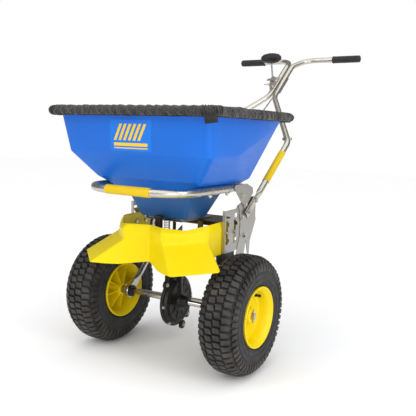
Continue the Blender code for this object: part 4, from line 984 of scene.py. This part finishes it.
def plate_between(outline, half, sign):
    """A flat plate in the plane of X and radius, which stands in the wheel's local frame."""
    bm = bmesh.new()
    front = [bm.verts.new((sign * u, half, r)) for u, r in outline]
    back = [bm.verts.new((sign * u, -half, r)) for u, r in outline]
    bm.faces.new(front)
    bm.faces.new(back[::-1])
    for i in range(len(outline)):
        j = (i + 1) % len(outline)
        bm.faces.new((front[j], front[i], back[i], back[j]))
    return bm


def make_axle():
    centre = Vector((0, 0, AXLE_Z))
    bar = rounded([(-0.272, 0), (-0.272, 0.008), (0.272, 0.008), (0.272, 0)], 0.0012, 2)
    piece("axle_bar", lathe(bmesh.new(), bar, centre, "X", 32), "tube", "driven_axle", "axle")
    for sign, side in SIDES:
        collar = rounded([(0.169, 0.0082), (0.169, 0.013), (0.187, 0.013), (0.187, 0.0082)], 0.0008, 2)
        bm = lathe(bmesh.new(), [(sign * u, r) for u, r in collar], centre, "X", 32)
        hex_bolt(bm, (sign * 0.178, 0, AXLE_Z + 0.0125), (0, 0, 1), 0.0032, 0.003)
        piece("collar_" + side, bm, "zinc", "driven_axle", "axle_collar_" + side)
        bush = [(0.148, 0.0083), (0.148, 0.0175), (0.1538, 0.0175)]
        bush += [(0.1538, 0.0125), (0.164, 0.0125), (0.164, 0.0083)]
        bm = lathe(bmesh.new(), [(sign * u, r) for u, r in rounded(bush, 0.0006, 1)], centre, "X", 40)
        piece("bush_" + side, bm, "nylon", "chassis", "axle_bush_" + side)


# ---- gearbox
SPLIT = 0.012
BOSSES = ((0.05, 0.114, 0.013), (0.028, 0.085, 0.0125), (-0.058, 0.2225, 0.0115))
SHELLS = {
    "left": (
        (SPLIT - 0.0001, 0.0), (SPLIT - 0.0001, 0.075), (0.0075, 0.075), (0.0065, 0.069), (0.0005, 0.064),
        (-0.002, 0.054), (-0.002, 0.03), (-0.005, 0.018), (-0.016, 0.015), (-0.016, 0.0),
    ),
    "right": (
        (SPLIT + 0.0001, 0.0), (SPLIT + 0.0001, 0.075), (0.0165, 0.075), (0.0175, 0.069), (0.0245, 0.065),
        (0.028, 0.055), (0.0265, 0.05), (0.0265, 0.034), (0.0285, 0.03), (0.0285, 0.021),
        (0.035, 0.0165), (0.056, 0.015), (0.056, 0.0),
    ),
}


def make_gearbox():
    """Two half housings that meet at SPLIT, each with its half of the tower round the rotor shaft."""
    centre = Vector((0, 0, AXLE_Z))
    tower = [(0.185, 0.0), (0.185, 0.0275), (0.29, 0.0255), (0.2975, 0.0245), (0.298, 0.0235), (0.298, 0.0)]
    for side, keep in (("left", -1), ("right", 1)):
        bm = lathe(bmesh.new(), rounded(SHELLS[side], 0.0012, 2), centre, "X", 72)
        lathe(bm, tower, (0.003, 0, 0), "Z", 48)
        cut = bm.verts[:] + bm.edges[:] + bm.faces[:]
        at = (SPLIT + keep * 0.0001, 0, 0)
        bmesh.ops.bisect_plane(bm, geom=cut, plane_co=at, plane_no=(-keep, 0, 0), clear_outer=True)
        if side == "right":
            low, high = SPLIT + 0.0002, SPLIT + 0.008
            for y, z, radius in BOSSES:
                disc = rounded([(low, 0.0), (low, radius), (high, radius), (high, 0.0)], 0.0008, 2)
                lathe(bm, disc, (0, y, z), "X", 28)
            rib = ((0.02, 0.03), (0.0288, 0.03), (0.0268, 0.064), (0.02, 0.066))
            add_ribs(bm, rib, 0.0012, 1, centre, 10, 0.3)
        piece("gear_housing_" + side, bm, "nylon", "chassis", "gearbox_case_" + side, angle=40)
    bolts = bmesh.new()
    flange = ((0.069, 0.17), (-0.069, 0.16), (-0.04, 0.106))
    for place in [(0.02, y, z) for y, z, _ in BOSSES] + [(0.0165, y, z) for y, z in flange]:
        hex_bolt(bolts, place, (1, 0, 0), 0.0045, 0.0035, 0.006)
    piece("housing_bolts", bolts, "zinc", "chassis")


def make_deck_fittings():
    """The capped black post and the steel coil at the deck's front edge, under the neck."""
    front = -0.078
    post = [(0.38, 0.0), (0.38, 0.0108), (0.413, 0.0108), (0.415, 0.0125), (0.419, 0.0128)]
    post += [(0.423, 0.0105), (0.425, 0.0)]
    bm = lathe(bmesh.new(), rounded(post, 0.0012, 3), (0.0015, front, 0), "Z", 32)
    piece("deck_post", bm, "nylon", "chassis", angle=40)
    turns, steps, radius, height = 6, 16, 0.0082, 0.028
    route = []
    for step in range(turns * steps + 1):
        angle = 2 * pi * step / steps
        climb = height * step / (turns * steps)
        route.append((0.029 + radius * cos(angle), front + radius * sin(angle), 0.384 + climb))
    piece("deck_spring", tube(bmesh.new(), route, 0.0013, (0, 0, 1), 10), "zinc", "chassis", angle=60)


# ---- spread shield
SHIELD = {
    "lip": (
        (0.0, -0.112, 0.4), (0.058, -0.144, 0.402), (0.108, -0.103, 0.3945), (0.147, -0.05, 0.407),
        (0.147, 0.083, 0.411),
    ),
    "top": (
        (0.0, -0.12, 0.388), (0.066, -0.157, 0.388), (0.114, -0.112, 0.384), (0.1545, -0.056, 0.39),
        (0.1545, 0.083, 0.39),
    ),
    "bend": (
        (0.0, -0.1185, 0.358), (0.065, -0.1485, 0.358), (0.111, -0.108, 0.36), (0.1545, -0.062, 0.365),
        (0.1545, 0.083, 0.365),
    ),
    "hem": ((0.0, -0.117, 0.2985), (0.133, -0.209, 0.295), (0.181, -0.164, 0.299), (0.228, -0.1195, 0.304)),
    "side": ((0.1545, -0.031, 0.316), (0.1545, 0.083, 0.316)),
    "bulge": ((0.03, -0.14, 0.2955), (0.064, -0.168, 0.2915), (0.1, -0.192, 0.2925)),
}


def make_shield():
    """The skirt's right half from its rows of corners, then its mirror image, with its folds rounded."""
    bm = bmesh.new()
    rows = {name: [bm.verts.new(p) for p in points] for name, points in SHIELD.items()}
    lip, top, bend, hem, side, bulge = rows.values()
    for upper, lower in ((lip, top), (top, bend)):
        for i in range(len(lower) - 1):
            bm.faces.new((upper[i], upper[i + 1], lower[i + 1], lower[i]))
    bm.faces.new((bend[0], bend[1], bulge[1], bulge[0], hem[0]))
    bm.faces.new((bend[1], hem[1], bulge[2], bulge[1]))
    for i in (1, 2):
        bm.faces.new((bend[i], bend[i + 1], hem[i + 1], hem[i]))
    bm.faces.new((bend[3], side[0], hem[3]))
    bm.faces.new((bend[3], bend[4], side[1], side[0]))
    copy = bmesh.ops.duplicate(bm, geom=bm.verts[:] + bm.edges[:] + bm.faces[:])["geom"]
    fresh = [g for g in copy if isinstance(g, bmesh.types.BMVert)]
    bmesh.ops.scale(bm, vec=(-1, 1, 1), verts=fresh)
    bmesh.ops.reverse_faces(bm, faces=[g for g in copy if isinstance(g, bmesh.types.BMFace)])
    bmesh.ops.remove_doubles(bm, verts=bm.verts, dist=1e-5)
    inner = [e for e in bm.edges if len(e.link_faces) == 2 and e.calc_face_angle(0) > radians(8)]
    round_edges(bm, inner, 0.0065, 5, 0.5)
    made = piece("shield_skin", bm, "yellow", "spread_shield", "deflector", angle=180)
    thicken(made, 0.003).use_even_offset = True
    bevel_edges(made, 0.0008, 50)


# ---- lever head
def twin_point(along, out, x=0.0):
    """A point by its reach along the twin tubes and its height off them to the front."""
    run = (TWIN_HIGH - TWIN_LOW).normalized()
    point = TWIN_LOW + run * along + Vector((-run.y, run.x)) * out
    return Vector((x, point.x, point.y))


def make_lever_head():
    """The eight-sided barrel knob on the lever, and the bolts that clamp its bracket to the twin tubes."""
    run = Vector((-0.2755, 0.9613))
    at = LEVER_PIVOT + run * 0.1007
    half = 0.0365
    profile = [(-half, 0), (-half, 0.0085), (-half + 0.0012, 0.01)]
    profile += [(-half * 0.8, 0.015), (-half * 0.25, 0.019)]
    profile += [(-reach, radius) for reach, radius in profile[::-1]]
    bm = lathe(bmesh.new(), profile, (LEVER_X, *at), "X", 8)
    ridge = [e for e in bm.edges if e.calc_face_angle(0) > radians(15)]
    round_edges(bm, ridge, 0.0006, 1, 0.6)
    for sign in (-1, 1):
        low, high = sign * (half - 0.001), sign * (half + 0.0012)
        ring = rounded([(low, 0.006), (low, 0.0092), (high, 0.0088), (high, 0.006)], 0.0004, 1)
        lathe(bm, ring, (LEVER_X, *at), "X", 24)
    piece("knob_barrel", bm, "nylon", "lever", "lever_knob", angle=12)
    bolts = bmesh.new()
    run = (TWIN_HIGH - TWIN_LOW).normalized()
    rear = Vector((0, run.y, -run.x))
    for reach in (0.048, 0.082, 0.118):
        spot = twin_point(reach, -HANDLE_R - 0.0003 - SHEET)
        hex_bolt(bolts, spot, rear, 0.006, 0.0045, 0.008, 0.0075)
    for reach in (0.048, 0.082):
        spot = twin_point(reach, HANDLE_R + 0.0003 + SHEET, -0.012)
        hex_bolt(bolts, spot, -rear, 0.005, 0.004, 0.0068)
    piece("clamp_bolts", bolts, "zinc", "chassis")


# ---- studio
def aimed(direction):
    return Vector(direction).to_track_quat("-Z", "Y").to_euler()


def area_light(name, at, target, size, power):
    data = bpy.data.lights.new(name, "AREA")
    data.shape = "RECTANGLE"
    data.size, data.size_y = size
    data.energy = power
    lamp = add_object(name, data)
    lamp.location = Vector(at) + SHIFT
    lamp.rotation_euler = aimed(Vector(target) - Vector(at))


def make_world():
    """White where the camera looks past the floor, and a dimmer white for the light on the object."""
    world = bpy.data.worlds.new("studio")
    bpy.context.scene.world = world
    world.use_nodes = True
    tree = world.node_tree
    shown = tree.nodes["Background"]
    around = tree.nodes.new("ShaderNodeBackground")
    for background, strength in ((shown, 1.0), (around, AMBIENT)):
        background.inputs["Color"].default_value = (1.0, 1.0, 1.0, 1.0)
        background.inputs["Strength"].default_value = strength
    choice = tree.nodes.new("ShaderNodeMixShader")
    tree.links.new(tree.nodes.new("ShaderNodeLightPath").outputs["Is Camera Ray"], choice.inputs[0])
    tree.links.new(around.outputs[0], choice.inputs[1])
    tree.links.new(shown.outputs[0], choice.inputs[2])
    tree.links.new(choice.outputs[0], tree.nodes["World Output"].inputs["Surface"])


def make_floor():
    bm = bmesh.new()
    bmesh.ops.create_grid(bm, x_segments=2, y_segments=2, size=9.0)
    floor = add_object("floor", mesh_of(bm, "floor"))
    floor.location = (0, 0, -0.0005)
    paper = Nodes("paper", "")
    cloud = paper.noise(3.0, 2.0)
    paper.colour(paper.mix(paper.span(cloud, 0.0, 1.0), (0.985, 0.985, 0.985), (0.995, 0.995, 0.995)))
    paper.rough(paper.span(cloud, 0.8, 0.9))
    floor.data.materials.append(paper.material)


def make_camera():
    data = bpy.data.cameras.new("camera")
    data.lens = LENS_MM
    data.sensor_width = SENSOR_MM
    level = cos(CAMERA_PITCH)
    forward = Vector((sin(CAMERA_YAW) * level, cos(CAMERA_YAW) * level, sin(CAMERA_PITCH)))
    right = Vector((cos(CAMERA_YAW), -sin(CAMERA_YAW), 0))
    up = right.cross(forward)
    side = right * cos(CAMERA_ROLL) + up * sin(CAMERA_ROLL)
    above = up * cos(CAMERA_ROLL) - right * sin(CAMERA_ROLL)
    camera = add_object("camera", data)
    turn = Matrix((side, above, -forward)).transposed().to_4x4()
    camera.matrix_world = Matrix.Translation(CAMERA_AT + SHIFT) @ turn
    bpy.context.scene.camera = camera


def make_studio():
    """A pale floor under a wide soft sky, with three soft lamps and the camera."""
    make_world()
    make_floor()
    sky = bpy.data.lights.new("sky", "SUN")
    sky.energy = 2.75
    sky.angle = radians(110)
    add_object("sky", sky).rotation_euler = aimed((-0.25, 0.42, -1.0))
    area_light("key", (-1.4, -2.6, 1.7), (0, 0, 0.4), (0.7, 1.6), 16)
    area_light("fill", (2.8, -0.6, 1.3), (0, 0, 0.4), (0.7, 1.8), 20)
    area_light("low", (2.0, -1.9, 0.45), (0, 0, 0.25), (0.9, 0.6), 11)
    make_camera()
    bpy.context.scene.view_settings.view_transform = "Standard"


# ---- carried-over nodes
KEPT = {
    "plate": "side_plate_left side_plate_right leg_plate_left leg_plate_right gusset_left gusset_right gate "
    "gate_guide gearbox_stay lever_bracket clamp_plate control_lever",
    "deck": "base_plate",
    "tube": "control_rod",
    "zinc": "agitator drive_pin retaining_pin rod_pin lever_pivot stop_screw handle_bolt_left "
    "handle_bolt_right height_bolt_front_left height_bolt_front_right height_bolt_rear_left "
    "height_bolt_rear_right pinion",
    "nylon": "impeller side_flap_left side_flap_right",
    "white": "crown_gear",
    "black steel": "rotor_shaft",
}

make_studio()
make_hopper()
make_decal()
make_cover()
make_hoop()
make_handle()
make_stand()
make_fasteners()
make_bend_bolts()
for wheel_side, wheel_sign, wheel_body in (("left", -1, "free_wheel"), ("right", 1, "driven_axle")):
    make_tyre(wheel_side, wheel_sign, wheel_body)
    make_rim(wheel_side, wheel_sign, wheel_body)
make_axle()
make_gearbox()
make_deck_fittings()
make_shield()
make_lever_head()
for kept_look, kept_names in KEPT.items():
    for kept_name in kept_names.split():
        finish_node(kept_name, kept_look)

bpy.context.view_layer.update()
